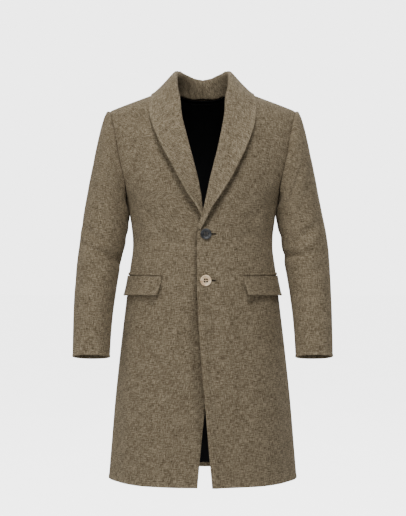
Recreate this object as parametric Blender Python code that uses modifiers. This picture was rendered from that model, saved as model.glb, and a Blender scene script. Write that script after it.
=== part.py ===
"""A single-breasted wool overcoat with a shawl collar, as it hangs when it is worn.

Metres, +Z up. The coat faces -Y, and the wearer's left is +X. The origin is the point between
the two neck points where the shoulders carry the coat. Heights in the tables are measured up
from the hem. Each cloth piece is an open grid on its middle surface, given its thickness by
Solidify. The pieces share one body form, so their edges meet along the seams.
"""

import math
from collections import namedtuple

import bmesh
import bpy
import numpy as np
from mathutils import Vector

# Driving sizes
NECK_HEIGHT = 0.990      # neck point above the hem; the origin's height
CHEST_LINE = 0.704       # underarm height, where the shoulder dome starts
CLOTH = 0.0026           # body and sleeve cloth
COLLAR_CLOTH = 0.0030    # two plies of the collar, pressed
LINING_CLOTH = 0.0010
FLAP_CLOTH = 0.0030      # pocket flap, two plies
JET_CLOTH = 0.0020
SEAM = 0.0003            # gap between pieces that are sewn together
SEAM_OPEN = 0.0007       # the same gap on a middle surface, where facets turn the edges
COLLAR_LIFT = 0.0037     # collar's middle surface over the body's
RIDGE_LIFT = 0.0018      # how much more it lifts where it turns over the shoulder
PLY_DROP = 0.0034        # how far the under front lies below the top front
CROSSING_DROP = 0.0056   # how much further it lies where its lapel goes under as well
SEAT = 0.0006            # gap under a flap, a welt or a button on the curved front
DOME_POWER = 2.5         # fullness of the chest and back over the shoulder

Girth = namedtuple("Girth", "level half_width front back centre fullness")
GIRTHS = [
    Girth(0.000, 0.2362, 0.152, 0.162, 0.000, 2.05),
    Girth(0.070, 0.2305, 0.150, 0.159, 0.000, 2.05),
    Girth(0.190, 0.2215, 0.147, 0.153, 0.000, 2.08),
    Girth(0.315, 0.2090, 0.144, 0.147, 0.000, 2.12),
    Girth(0.435, 0.1950, 0.140, 0.139, 0.000, 2.15),
    Girth(0.528, 0.1840, 0.136, 0.129, 0.000, 2.20),
    Girth(0.590, 0.1765, 0.132, 0.121, 0.000, 2.20),
    Girth(0.641, 0.1800, 0.131, 0.122, 0.000, 2.20),
    Girth(0.680, 0.1865, 0.133, 0.128, 0.000, 2.20),
    Girth(0.704, 0.1935, 0.134, 0.132, 0.000, 2.20),
    Girth(0.755, 0.2110, 0.134, 0.136, 0.002, 2.20),
    Girth(0.830, 0.2370, 0.133, 0.139, 0.006, 2.20),
    Girth(0.900, 0.2550, 0.131, 0.139, 0.010, 2.20),
    Girth(1.000, 0.2710, 0.128, 0.136, 0.014, 2.20),
]

# The shoulder ridge, seen from the front: height over the hem at each distance from the centre
Ridge = namedtuple("Ridge", "across height")
RIDGE = [
    Ridge(0.000, 1.0130),
    Ridge(0.060, 1.0030),
    Ridge(0.085, 0.9935),
    Ridge(0.125, 0.9775),
    Ridge(0.180, 0.9570),
    Ridge(0.221, 0.9400),
    Ridge(0.2365, 0.9325),
    Ridge(0.280, 0.9100),
]

# Half width of the armhole at each level, front and back
Armhole = namedtuple("Armhole", "level front back")
ARMHOLE = [
    Armhole(0.704, 0.1930, 0.1930),
    Armhole(0.720, 0.1932, 0.1932),
    Armhole(0.742, 0.1937, 0.1937),
    Armhole(0.790, 0.2005, 0.2005),
    Armhole(0.837, 0.2090, 0.2100),
    Armhole(0.890, 0.2165, 0.2180),
    Armhole(0.937, 0.2240, 0.2250),
    Armhole(0.970, 0.2305, 0.2310),
    Armhole(1.000, 0.2365, 0.2365),
]

# Front edges, across from the centre at each level. The top front laps over the centre line,
# and both swing apart towards the hem. Above the break the edge is the lapel's roll line.
Edge = namedtuple("Edge", "level across")
TOP_FRONT_EDGE = [
    Edge(0.000, 0.0230),
    Edge(0.100, 0.0140),
    Edge(0.197, 0.0062),
    Edge(0.245, 0.0018),
    Edge(0.310, -0.0038),
    Edge(0.380, -0.0085),
    Edge(0.435, -0.0120),
    Edge(0.500, -0.0142),
    Edge(0.610, -0.0138),
    Edge(0.634, -0.0090),
    Edge(0.650, -0.0024),
    Edge(0.664, 0.0022),
    Edge(0.676, 0.0062),
    Edge(0.693, 0.0102),
    Edge(0.716, 0.0150),
    Edge(0.742, 0.0207),
    Edge(0.783, 0.0312),
    Edge(0.842, 0.0455),
    Edge(0.892, 0.0552),
    Edge(0.922, 0.0600),
    Edge(0.945, 0.0650),
    Edge(0.971, 0.0730),
    Edge(0.985, 0.0790),
    Edge(1.000, 0.0860),
]
UNDER_FRONT_EDGE = [
    Edge(0.000, 0.0128),
    Edge(0.100, 0.0042),
    Edge(0.197, -0.0066),
    Edge(0.245, -0.0110),
    Edge(0.310, -0.0150),
    Edge(0.435, -0.0180),
    Edge(0.500, -0.0200),
    Edge(0.625, -0.0200),
    Edge(0.645, -0.0130),
    Edge(0.660, -0.0040),
    Edge(0.676, 0.0034),
    Edge(0.688, 0.0068),
    Edge(0.715, 0.0088),
    Edge(0.734, 0.0125),
    Edge(0.783, 0.0247),
    Edge(0.832, 0.0376),
    Edge(0.874, 0.0485),
    Edge(0.922, 0.0590),
    Edge(0.945, 0.0645),
    Edge(0.971, 0.0730),
    Edge(0.985, 0.0790),
    Edge(1.000, 0.0860),
]
BACK_NECK_LEVEL = 0.962   # level of the back neck seam at the centre
NECK_HALF_WIDTH = 0.0860
NECK_CURVE = 2.4          # how flat the back neck seam runs before it climbs to the shoulder
NECK_BEND_LEVEL = 0.850   # above this level the back's rows bend with the neck seam
VENT_TOP = 0.430
VENT_LAP = 0.038          # how far the under back runs on behind the other

# Where the under plies sink: over which distances across, and over which heights they start
# to sink and have risen again
Sinking = namedtuple("Sinking", "across_from across_to foot_from foot_to head_from head_to")
UNDER_FRONT = Sinking(-0.075, -0.018, -1.000, -0.900, 0.690, 0.760)
LAPEL_CROSSING = Sinking(-0.075, -0.018, 0.560, 0.650, 0.700, 0.780)
UNDER_VENT = Sinking(-0.034, -0.008, -1.000, -0.900, 0.452, 0.530)

# The two fronts' rows, from the hem up; the backs use the same so that the side seams agree
BODY_LEVELS = [
    0.000, 0.045, 0.090, 0.135, 0.180, 0.225, 0.270, 0.315, 0.360, 0.405, 0.450, 0.490,
    0.530, 0.568, 0.605, 0.641, 0.668, 0.688, 0.704, 0.720, 0.742, 0.775, 0.812, 0.850,
    0.885, 0.915, 0.943, 0.966, 0.984, 1.000,
]
FRONT_COLUMNS = 13
BACK_COLUMNS = 10
LINING_COLUMNS = 12
LINING_HEM = 0.016        # the lining ends this far above the hem
LINING_NECK = 0.994       # level of its top row, bent with the neck seam
LINING_SHORT = 0.004      # and this far short of the side seams
LINING_ARMHOLE = 0.006    # and of the armholes, across
LINING_DEPTH = 0.0074     # its middle surface under the backs' middle surface

# Soft folds of the body: where each runs, how wide and how deep it is. Around is the angle
# from the front centre, in degrees; a fold leans by drift degrees from its foot to its head.
Fold = namedtuple("Fold", "foot head around drift spread depth")
BODY_FOLDS = [
    Fold(0.000, 0.400, 38, -6, 9, 0.0040),
    Fold(0.000, 0.470, 66, 5, 10, -0.0045),
    Fold(0.000, 0.380, 96, 4, 11, 0.0032),
    Fold(0.000, 0.430, 128, -5, 12, -0.0050),
    Fold(0.000, 0.360, 154, -4, 9, 0.0040),
    Fold(0.560, 0.700, 28, 20, 7, -0.0030),
    Fold(0.600, 0.780, 60, 14, 9, -0.0035),
    Fold(0.590, 0.730, 122, -8, 9, -0.0040),
    Fold(0.640, 0.800, 146, -10, 10, -0.0030),
]

# The lapel and collar, station by station from the break to the centre back. Seam is where it
# leaves the body, roll the crest it turns over, edge its outer edge; across and height are seen
# from the front. A station with no roll height lies on the chest and is rolled softly.
Station = namedtuple("Station", "seam_x seam_level roll_x roll_y roll_z edge_x edge_z edge_side")
FRONT, BACK = -1, 1
LEFT_LAPEL = [
    Station(None, 0.634, None, None, None, -0.0030, 0.6290, FRONT),
    Station(None, 0.650, None, None, None, 0.0062, 0.6510, FRONT),
    Station(None, 0.676, None, None, None, 0.0185, 0.6795, FRONT),
    Station(None, 0.707, None, None, None, 0.0412, 0.7130, FRONT),
    Station(None, 0.745, None, None, None, 0.0660, 0.7520, FRONT),
    Station(None, 0.790, None, None, None, 0.0880, 0.7950, FRONT),
    Station(None, 0.832, None, None, None, 0.1060, 0.8340, FRONT),
    Station(None, 0.873, None, None, None, 0.1200, 0.8710, FRONT),
    Station(None, 0.912, None, None, None, 0.1290, 0.9040, FRONT),
]
RIGHT_LAPEL = [
    Station(None, 0.664, None, None, None, 0.0000, 0.6610, FRONT),
    Station(None, 0.672, None, None, None, 0.0065, 0.6740, FRONT),
    Station(None, 0.684, None, None, None, 0.0140, 0.6880, FRONT),
    Station(None, 0.707, None, None, None, 0.0325, 0.7130, FRONT),
    Station(None, 0.745, None, None, None, 0.0545, 0.7520, FRONT),
    Station(None, 0.790, None, None, None, 0.0770, 0.7950, FRONT),
    Station(None, 0.832, None, None, None, 0.0985, 0.8340, FRONT),
    Station(None, 0.873, None, None, None, 0.1150, 0.8710, FRONT),
    Station(None, 0.912, None, None, None, 0.1275, 0.9040, FRONT),
]
UPPER_COLLAR = [
    Station(None, 0.944, 0.0615, -0.0800, 0.9620, 0.1325, 0.9320, FRONT),
    Station(None, 0.970, 0.0690, -0.0460, 1.0040, 0.1310, 0.9570, FRONT),
    Station(0.0815, None, 0.0685, 0.0020, 1.0350, 0.1250, 0.9760, BACK),
    Station(0.0700, None, 0.0580, 0.0430, 1.0405, 0.1190, 0.9660, BACK),
    Station(0.0490, None, 0.0390, 0.0710, 1.0345, 0.0980, 0.9540, BACK),
    Station(0.0250, None, 0.0200, 0.0870, 1.0290, 0.0540, 0.9450, BACK),
    Station(0.0000, None, 0.0000, 0.0925, 1.0265, 0.0000, 0.9420, BACK),
]
COLLAR_ROWS = 34
COLLAR_INSET = 0.0028     # the collar's seam inside the front's edge, on middle surfaces
NECK_RAISE = 0.0032       # and above the back neck seam, as a level
COLLAR_FALL_COLUMNS = 6
COLLAR_STAND_COLUMNS = 3

# The sleeve, ring by ring from the armhole to the cuff: where its outer and inner sides run as
# seen from the front, how far forward its middle is, half its depth, and its tilt in degrees.
Ring = namedtuple("Ring", "outer_x outer_z inner_x inner_z centre_y half_depth tilt")
SLEEVE_RINGS = [
    Ring(0.2375, 0.9325, 0.1960, 0.7035, 0.003, 0.0700, 0),
    Ring(0.2435, 0.9310, 0.1964, 0.7010, 0.003, 0.0715, 0),
    Ring(0.2490, 0.9220, 0.1966, 0.6980, 0.003, 0.0725, 0),
    Ring(0.2560, 0.8990, 0.1962, 0.6930, 0.003, 0.0740, 0),
    Ring(0.2635, 0.8670, 0.1950, 0.6865, 0.003, 0.0750, 0),
    Ring(0.2720, 0.8280, 0.1930, 0.6775, 0.003, 0.0755, 0),
    Ring(0.2825, 0.7780, 0.1915, 0.6640, 0.003, 0.0750, 0),
    Ring(0.2945, 0.7120, 0.1938, 0.6410, 0.001, 0.0740, 0),
    Ring(0.3055, 0.6450, 0.1995, 0.6060, -0.003, 0.0725, 1),
    Ring(0.3120, 0.5890, 0.2062, 0.5660, -0.011, 0.0705, 3),
    Ring(0.3172, 0.5380, 0.2130, 0.5220, -0.023, 0.0680, 6),
    Ring(0.3205, 0.4800, 0.2200, 0.4700, -0.040, 0.0640, 8),
    Ring(0.3215, 0.4200, 0.2265, 0.4130, -0.058, 0.0600, 10),
    Ring(0.3212, 0.3620, 0.2298, 0.3590, -0.075, 0.0560, 10),
    Ring(0.3205, 0.3140, 0.2312, 0.3140, -0.090, 0.0540, 10),
]
SLEEVE_STATIONS = [0, 0.5, 1, 1.6, 2.3, 3.1, 4, 5, 6, 7, 7.6, 8.2, 8.8, 9.3, 9.8, 10.3, 11, 12,
                   13, 14]
HEAD_STATIONS = 4.5       # over these the sleeve is drawn onto the armhole
SLEEVE_FULLNESS = 2.15
FRONT_SEAM_ANGLE = 122    # around the sleeve from its outer side, by way of the front
BACK_SEAM_ANGLE = 248
TOP_SLEEVE_COLUMNS = 12
UNDER_SLEEVE_COLUMNS = 7
ARMHOLE_EASE_TOP = 0.0009      # how far the sleeve stands off the armhole's edge
ARMHOLE_EASE_BOTTOM = 0.0036

# Creases round the elbow and under the cap; station counts rings, around is in degrees
Crease = namedtuple("Crease", "station around slant reach width depth")
SLEEVE_CREASES = [
    Crease(7.6, 70, 0.4, 60, 0.30, -0.0050),
    Crease(8.4, 45, -0.5, 70, 0.28, -0.0060),
    Crease(9.0, 100, 0.3, 60, 0.28, -0.0065),
    Crease(9.7, 60, -0.3, 60, 0.30, -0.0050),
    Crease(8.0, 215, 0.3, 50, 0.34, -0.0050),
    Crease(9.2, 260, -0.3, 55, 0.36, 0.0040),
    Crease(5.6, 110, 0.8, 45, 0.45, -0.0045),
]

# Pockets: distances along the cloth from the flap's front end, heights over the hem
POCKET_FRONT_X = 0.0975
POCKET_TOP = 0.5140
FLAP_LENGTH = 0.150
FLAP_DROP = 0.0465
FLAP_SLANT = 0.0085       # how far the front end leans back at the bottom
FLAP_CORNER = 0.008
FLAP_FLARE = 0.0022       # how far the bottom edge stands off the body
FLAP_SAG = 0.0045         # how much lower the bottom edge runs at its outer end
JET_HEIGHT = 0.0085
FLAP_COLUMNS = 9
FLAP_ROWS = 4

Button = namedtuple("Button", "across height radius")
TOP_BUTTON = Button(0.0080, 0.6178, 0.0134)
LOWER_BUTTON = Button(0.0077, 0.5040, 0.0136)
BUTTON_THICKNESS = 0.0042
BUTTON_HOLE_RADIUS = 0.0018
BUTTON_HOLE_OFFSET = 0.0040
BUTTON_STEPS = 20


# Reading the tables

def smooth(rows, key, column, at):
    """A smooth curve through one column of a table, read at one value of its key."""
    keys = [getattr(row, key) for row in rows]
    values = [getattr(row, column) for row in rows]
    return hermite(keys, values, at)


def hermite(keys, values, at):
    at = min(max(at, keys[0]), keys[-1])
    i = min(max(int(np.searchsorted(keys, at)) - 1, 0), len(keys) - 2)
    span = keys[i + 1] - keys[i]
    t = (at - keys[i]) / span
    rise = slope(keys, values, i) * span
    fall = slope(keys, values, i + 1) * span
    low, high = values[i], values[i + 1]
    return ((2 * t**3 - 3 * t**2 + 1) * low + (t**3 - 2 * t**2 + t) * rise
            + (3 * t**2 - 2 * t**3) * high + (t**3 - t**2) * fall)


def slope(keys, values, i):
    """The harmonic mean of the slopes on both sides, which never overshoots."""
    if i == 0 or i == len(keys) - 1:
        j = min(i, len(keys) - 2)
        return (values[j + 1] - values[j]) / (keys[j + 1] - keys[j])
    before = (values[i] - values[i - 1]) / (keys[i] - keys[i - 1])
    after = (values[i + 1] - values[i]) / (keys[i + 1] - keys[i])
    if before * after <= 0:
        return 0.0
    return 2 * before * after / (before + after)


def ease(low, high, at):
    """0 below low, 1 above high, and a soft step between."""
    t = min(max((at - low) / (high - low), 0.0), 1.0)
    return t * t * (3 - 2 * t)


# The body form

def ridge_height(across):
    return smooth(RIDGE, "across", "height", min(abs(across), RIDGE[-1].across))


def dome_rise(level):
    """How far up the shoulder dome a level lies, from 0 at the chest line to 1 on the ridge."""
    return max(0.0, (level - CHEST_LINE) / (GIRTHS[-1].level - CHEST_LINE))


def level_at(across, height):
    if height <= CHEST_LINE:
        return height
    rise = (height - CHEST_LINE) / (ridge_height(across) - CHEST_LINE)
    return CHEST_LINE + rise * (GIRTHS[-1].level - CHEST_LINE)


def signed_power(value, power):
    return math.copysign(abs(value) ** power, value)


def form_value(point):
    """Positive inside the body form and negative outside it; heights are above the hem."""
    level = level_at(point.x, point.z)
    girth = girth_at(level)
    depth = point.y - girth.centre
    reach = girth.front if depth < 0 else girth.back
    power = girth.fullness
    dome = signed_power(1 - dome_rise(level) ** DOME_POWER, power / DOME_POWER)
    side = 1 - (abs(point.x) / girth.half_width) ** power
    return side * dome - (abs(depth) / reach) ** power


def girth_at(level):
    top = min(max(level, 0.0), GIRTHS[-1].level)
    columns = [smooth(GIRTHS, "level", name, top) for name in Girth._fields[1:]]
    return Girth(level, *columns)


def form_normal(point):
    step = 0.0004
    slopes = []
    for axis in (Vector((1, 0, 0)), Vector((0, 1, 0)), Vector((0, 0, 1))):
        ahead = form_value(point + step * axis)
        behind = form_value(point - step * axis)
        slopes.append((behind - ahead) / (2 * step))
    gradient = Vector(slopes)
    return gradient.normalized(), gradient.length


def lifted_clear(point, least):
    """The point moved out until it lies at least this far outside the body form."""
    for _ in range(4):
        normal, steepness = form_normal(point)
        away = -form_value(point) / steepness
        if away >= least:
            break
        point = point + normal * (least - away)
    return point


def form_point(angle, level):
    """On the body form, at an angle round from the front centre to the wearer's left."""
    girth = girth_at(level)
    power = 2 / girth.fullness
    rise = dome_rise(level)
    depth_share = max(0.0, 1 - rise ** DOME_POWER) ** (1 / DOME_POWER)
    x = girth.half_width * signed_power(math.sin(angle), power)
    reach = girth.front if math.cos(angle) > 0 else girth.back
    y = girth.centre - reach * depth_share * signed_power(math.cos(angle), power)
    z = level
    if rise > 0:
        z = CHEST_LINE + (ridge_height(x) - CHEST_LINE) * rise
    return Vector((x, y, z))


def angle_at(across, level, side):
    girth = girth_at(level)
    share = min(abs(across) / girth.half_width, 1.0)
    angle = math.asin(share ** (girth.fullness / 2))
    if side == BACK:
        angle = math.pi - angle
    return math.copysign(angle, across)


def fold_offset(angle, height):
    """How far the soft folds push the cloth out at this place."""
    total = 0.0
    around = math.degrees(abs(angle))
    for fold in BODY_FOLDS:
        along = (height - fold.foot) / (fold.head - fold.foot)
        if not -0.2 < along < 1:
            continue
        if fold.foot == 0:
            fade = 1 - ease(0.1, 1.0, along)
        else:
            fade = ease(-0.2, 0.4, along) * (1 - ease(0.5, 1.0, along))
        lean = (around - fold.around - fold.drift * along) / fold.spread
        total += fold.depth * fade * math.exp(-lean * lean)
    return total


def body_row(level, start, end, columns, trim, level_of=None):
    """Points along the form at one level, from one angle to another, evenly spaced.

    level_of, where it is given, bends the row: it turns a distance across into a level.
    """
    def place(angle):
        point = form_point(angle, level)
        if level_of:
            point = form_point(angle, level_of(level, point.x))
        return point

    dense = 80
    angles = [start + (end - start) * i / dense for i in range(dense + 1)]
    points = [place(angle) for angle in angles]
    run = [0.0]
    for a, b in zip(points, points[1:]):
        run.append(run[-1] + (b - a).length)
    low, high = trim[0], run[-1] - trim[1]
    row = []
    for i in range(columns + 1):
        at = low + (high - low) * i / columns
        angle = float(np.interp(at, run, angles))
        point = place(angle)
        normal, _ = form_normal(point)
        row.append(point + normal * fold_offset(angle, point.z))
    return row


def neck_level(across):
    """The level of the back neck seam, and of the shoulder seam outside it."""
    climb = min(abs(across) / NECK_HALF_WIDTH, 1.0) ** NECK_CURVE
    return BACK_NECK_LEVEL + (GIRTHS[-1].level - BACK_NECK_LEVEL) * climb


def bent_level(level, across):
    """A back row's level at a distance across: the top rows follow the neck seam."""
    if level <= NECK_BEND_LEVEL:
        return level
    share = (level - NECK_BEND_LEVEL) / (GIRTHS[-1].level - NECK_BEND_LEVEL)
    return NECK_BEND_LEVEL + share * (neck_level(across) - NECK_BEND_LEVEL)


def sunk(point, depth):
    normal, _ = form_normal(point)
    return point - normal * depth


# Making the objects

def material(name, colour, roughness):
    made = bpy.data.materials.new(name)
    made.use_nodes = True
    shader = made.node_tree.nodes["Principled BSDF"]
    shader.inputs["Base Color"].default_value = (*colour, 1)
    shader.inputs["Roughness"].default_value = roughness
    shader.inputs["Metallic"].default_value = 0.0
    return made


def add_object(name, mesh, collection, finish):
    mesh.materials.append(finish)
    made = bpy.data.objects.new(name, mesh)
    collection.objects.link(made)
    made.parent = bpy.data.objects["coat"]
    return made


def grid_mesh(name, rows):
    """A mesh of one open grid. Rows are lists of points, all of the same length."""
    bm = bmesh.new()
    verts = [[bm.verts.new(point) for point in row] for row in rows]
    for low, high in zip(verts, verts[1:]):
        for i in range(len(low) - 1):
            bm.faces.new((low[i], low[i + 1], high[i + 1], high[i]))
    mesh = bpy.data.meshes.new(name)
    bm.to_mesh(mesh)
    bm.free()
    mesh.shade_smooth()
    return mesh


def cloth_piece(name, rows, thickness, collection, finish, flip=False):
    """A cloth wall: the grid is its middle surface, and both faces lie half its thickness off."""
    if flip:
        rows = [list(reversed(row)) for row in rows]
    mesh = grid_mesh(name, rows)
    made = add_object(name, mesh, collection, finish)
    made.location.z = -NECK_HEIGHT
    wall = made.modifiers.new("wall", "SOLIDIFY")
    wall.thickness = thickness
    wall.offset = 0
    wall.use_even_offset = True
    return made


# The body's panels

def front_rows(sign):
    """One front, from its front edge or roll line to the side seam and the armhole."""
    edges = TOP_FRONT_EDGE if sign > 0 else UNDER_FRONT_EDGE
    rows = []
    for level in BODY_LEVELS:
        inner = smooth(edges, "level", "across", level)
        start = angle_at(inner, level, FRONT)
        if level <= CHEST_LINE:
            end = math.pi / 2
        else:
            end = angle_at(smooth(ARMHOLE, "level", "front", level), level, FRONT)
        row = body_row(level, start, end, FRONT_COLUMNS, (0.0, SEAM_OPEN / 2))
        rows.append([Vector((point.x * sign, point.y, point.z)) for point in row])
    rows = seam_top(rows, FRONT)
    if sign < 0:
        rows = [[sunk(point, front_drop(point)) for point in row] for row in rows]
    return rows


def seam_top(rows, side):
    """Moves the last row off the shoulder ridge by half a seam."""
    rows[-1] = [point + Vector((0, side * SEAM_OPEN, 0)) for point in rows[-1]]
    return rows


def sinking_share(sinking, point):
    """How much of its full drop an under ply has at this point."""
    across = ease(sinking.across_from, sinking.across_to, point.x)
    foot = ease(sinking.foot_from, sinking.foot_to, point.z)
    head = 1 - ease(sinking.head_from, sinking.head_to, point.z)
    return across * foot * head


def front_drop(point):
    """How far the under front is sunk, so that the top front and its lapel pass over it."""
    lap = PLY_DROP * sinking_share(UNDER_FRONT, point)
    return lap + CROSSING_DROP * sinking_share(LAPEL_CROSSING, point)


def back_rows(sign):
    """One back, from the centre seam to the side seam and the armhole."""
    rows = []
    for level in BODY_LEVELS:
        start = math.pi
        if sign < 0 and level < VENT_TOP:
            start = 2 * math.pi + angle_at(-VENT_LAP, level, BACK)
        if level <= CHEST_LINE:
            end = math.pi / 2
        else:
            end = angle_at(smooth(ARMHOLE, "level", "back", level), level, BACK)
        trim = (SEAM_OPEN / 2, SEAM_OPEN / 2)
        row = body_row(level, start, end, BACK_COLUMNS, trim, bent_level)
        rows.append([Vector((point.x * sign, point.y, point.z)) for point in row])
    rows = seam_top(rows, BACK)
    if sign < 0:
        rows = [[sunk(point, vent_drop(point)) for point in row] for row in rows]
    return rows


def vent_drop(point):
    return PLY_DROP * sinking_share(UNDER_VENT, point)


def lining_rows():
    """The lining inside both backs, from one side seam to the other, short of the hem."""
    rows = []
    for level in [LINING_HEM] + BODY_LEVELS[1:-3:2] + [LINING_NECK]:
        if level <= CHEST_LINE:
            reach = math.pi / 2
        else:
            armhole = smooth(ARMHOLE, "level", "back", level)
            reach = angle_at(armhole - LINING_ARMHOLE, level, BACK)
        trim = (LINING_SHORT, LINING_SHORT)
        row = body_row(level, reach, 2 * math.pi - reach, LINING_COLUMNS, trim, bent_level)
        rows.append([sunk(point, LINING_DEPTH) for point in row])
    return rows


# The shawl collar

def chest_point(across, height, side):
    level = level_at(across, height)
    return form_point(angle_at(across, level, side), level)


def lapel_section(seam, edge):
    """Control points of a section that lies on the chest and turns over a soft roll."""
    normal, _ = form_normal(seam)
    out = edge - seam
    width = out.length
    out = (out - normal * out.dot(normal)).normalized()
    roll = min(1.0, width / 0.040)
    return [
        seam - normal * 0.0002,
        seam - out * 0.0026 + normal * 0.0012,
        seam - out * 0.0024 + normal * (0.0040 + 0.0012 * roll),
        seam + out * 0.0022 * roll + normal * (COLLAR_LIFT + 0.0020 * roll),
        seam + out * width * 0.22 + normal * (COLLAR_LIFT + 0.0034 * roll),
        seam + out * width * 0.62 + normal * COLLAR_LIFT,
        edge,
    ]


def stand_section(seam, crest, edge):
    """Control points of a section that stands up round the neck and falls to its edge."""
    rise = crest - seam
    fall = edge - crest
    over = Vector((fall.x, fall.y, 0)).normalized()
    return [
        seam,
        seam + rise * 0.45 - over * 0.003,
        crest - over * 0.010 - Vector((0, 0, 0.012)),
        crest,
        crest + over * 0.009 - Vector((0, 0, 0.004)),
        edge - fall * 0.62 - Vector((0, 0, 0.004)),
        edge,
    ]


def collar_controls(stations, edges):
    """The seven control points of each station's section."""
    controls = []
    for station in stations:
        edge_base = chest_point(station.edge_x, station.edge_z, station.edge_side)
        edge = lifted_clear(edge_base, collar_lift(edge_base))
        if station.seam_x is None:
            level = station.seam_level
            across = smooth(edges, "level", "across", level) - COLLAR_INSET
            seam = form_point(angle_at(across, level, FRONT), level)
        else:
            level = neck_level(station.seam_x) + NECK_RAISE
            seam = form_point(angle_at(station.seam_x, level, BACK), level)
        if station.roll_z is None:
            controls.append(lapel_section(seam, edge))
        else:
            crest = Vector((station.roll_x, station.roll_y, station.roll_z))
            controls.append(stand_section(seam, crest, edge))
    return controls


def collar_lift(point):
    return COLLAR_LIFT + RIDGE_LIFT * ease(0.880, 0.990, level_at(point.x, point.z))


def bezier(points, t):
    a, b, c, d = points
    s = 1 - t
    return a * s**3 + b * (3 * s * s * t) + c * (3 * s * t * t) + d * t**3


def collar_rows(stations, edges, sign):
    """The collar's grid, a row for each section."""
    controls = collar_controls(stations, edges)
    centre_back = len(controls) - 1
    controls.append([Vector((-point.x, point.y, point.z)) for point in controls[-2]])
    keys = list(range(len(controls)))
    rows = []
    for i in range(COLLAR_ROWS + 1):
        at = centre_back * i / COLLAR_ROWS
        section = []
        for j in range(7):
            parts = [hermite(keys, [points[j][axis] for points in controls], at)
                     for axis in range(3)]
            section.append(Vector(parts))
        row = [bezier(section[:4], k / COLLAR_STAND_COLUMNS) for k in range(COLLAR_STAND_COLUMNS)]
        for k in range(COLLAR_FALL_COLUMNS + 1):
            point = bezier(section[3:], k / COLLAR_FALL_COLUMNS)
            row.append(lifted_clear(point, collar_lift(point)) if k > 0 else point)
        rows.append([Vector((point.x * sign, point.y, point.z)) for point in row])
    for point in rows[-1]:
        point.x = sign * SEAM_OPEN / 2
    if sign < 0:
        rows = [[sunk(point, front_drop(point)) for point in row] for row in rows]
    return rows


# Sleeves

def armhole_point(angle):
    """On the armhole's edge, round from the shoulder point by way of the front."""
    rise = (1 + math.cos(angle)) / 2
    level = CHEST_LINE + rise * (GIRTHS[-1].level - CHEST_LINE)
    to_front = math.sin(angle) >= 0
    side = FRONT if to_front else BACK
    across = smooth(ARMHOLE, "level", "front" if to_front else "back", level)
    point = form_point(angle_at(across, level, side), level)
    low_share = ((1 - math.cos(angle)) / 2) ** 0.6
    off = ARMHOLE_EASE_TOP + (ARMHOLE_EASE_BOTTOM - ARMHOLE_EASE_TOP) * low_share
    return point + Vector((off, 0, 0))


def ring_point(station, angle):
    keys = list(range(len(SLEEVE_RINGS)))
    ring = Ring(*[hermite(keys, [getattr(row, name) for row in SLEEVE_RINGS], station)
                  for name in Ring._fields])
    outer = Vector((ring.outer_x, ring.centre_y, ring.outer_z))
    inner = Vector((ring.inner_x, ring.centre_y, ring.inner_z))
    tilt = math.radians(ring.tilt)
    forward = Vector((0, -math.cos(tilt), math.sin(tilt)))
    power = 2 / SLEEVE_FULLNESS
    along = signed_power(math.cos(angle), power)
    aside = signed_power(math.sin(angle), power)
    return (outer + inner) / 2 + (outer - inner) / 2 * along + forward * ring.half_depth * aside


def crease_offset(station, angle):
    total = 0.0
    around = math.degrees(angle) % 360
    for crease in SLEEVE_CREASES:
        turn = (around - crease.around + 180) % 360 - 180
        fade = math.exp(-(turn / crease.reach) ** 2)
        lean = (station - crease.station - crease.slant * turn / crease.reach) / crease.width
        total += crease.depth * fade * math.exp(-lean * lean)
    return total


def sleeve_point(station, angle):
    """On the sleeve: a plain ring, drawn onto the armhole near its head, with its creases."""
    point = ring_point(station, angle)
    draw = 1 - ease(0, HEAD_STATIONS, station)
    point = point + (armhole_point(angle) - ring_point(0, angle)) * draw
    step = 0.01
    ahead = ring_point(min(station + step, len(SLEEVE_RINGS) - 1), angle)
    behind = ring_point(max(station - step, 0), angle)
    turned = ring_point(station, angle + step) - ring_point(station, angle - step)
    normal = turned.cross(ahead - behind)
    if normal.length > 0:
        point = point + normal.normalized() * crease_offset(station, angle)
    return point


def sleeve_rows(first, last, columns, sign):
    """One piece of a sleeve, between two seams, from the armhole to the cuff."""
    gap = SEAM_OPEN / SLEEVE_RINGS[-1].half_depth
    start = math.radians(first) + gap
    end = math.radians(last) - gap
    shares = [0.45 * i / columns + 0.55 * (1 - math.cos(math.pi * i / columns)) / 2
              for i in range(columns + 1)]
    rows = []
    for station in reversed(SLEEVE_STATIONS):
        row = [sleeve_point(station, start + (end - start) * share) for share in shares]
        rows.append([Vector((point.x * sign, point.y, point.z)) for point in row])
    return rows


# Pockets

def arc_position(distance, level, sign):
    """The angle that lies this far round the body from the flap's front end."""
    start = angle_at(POCKET_FRONT_X, level, FRONT)
    steps = 60
    run = 0.0
    last = form_point(start, level)
    angle = start
    reach = math.radians(80)
    for i in range(1, steps + 1):
        ahead = start + reach * i / steps
        point = form_point(ahead, level)
        length = (point - last).length
        if run + length >= distance:
            share = (distance - run) / length
            return sign * (angle + (ahead - angle) * share)
        run += length
        last = point
        angle = ahead
    return sign * angle


def pocket_point(distance, height, off, sign):
    angle = arc_position(distance, height, sign)
    point = form_point(angle, height)
    normal, _ = form_normal(point)
    return point + normal * (off + fold_offset(angle, height))


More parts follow.
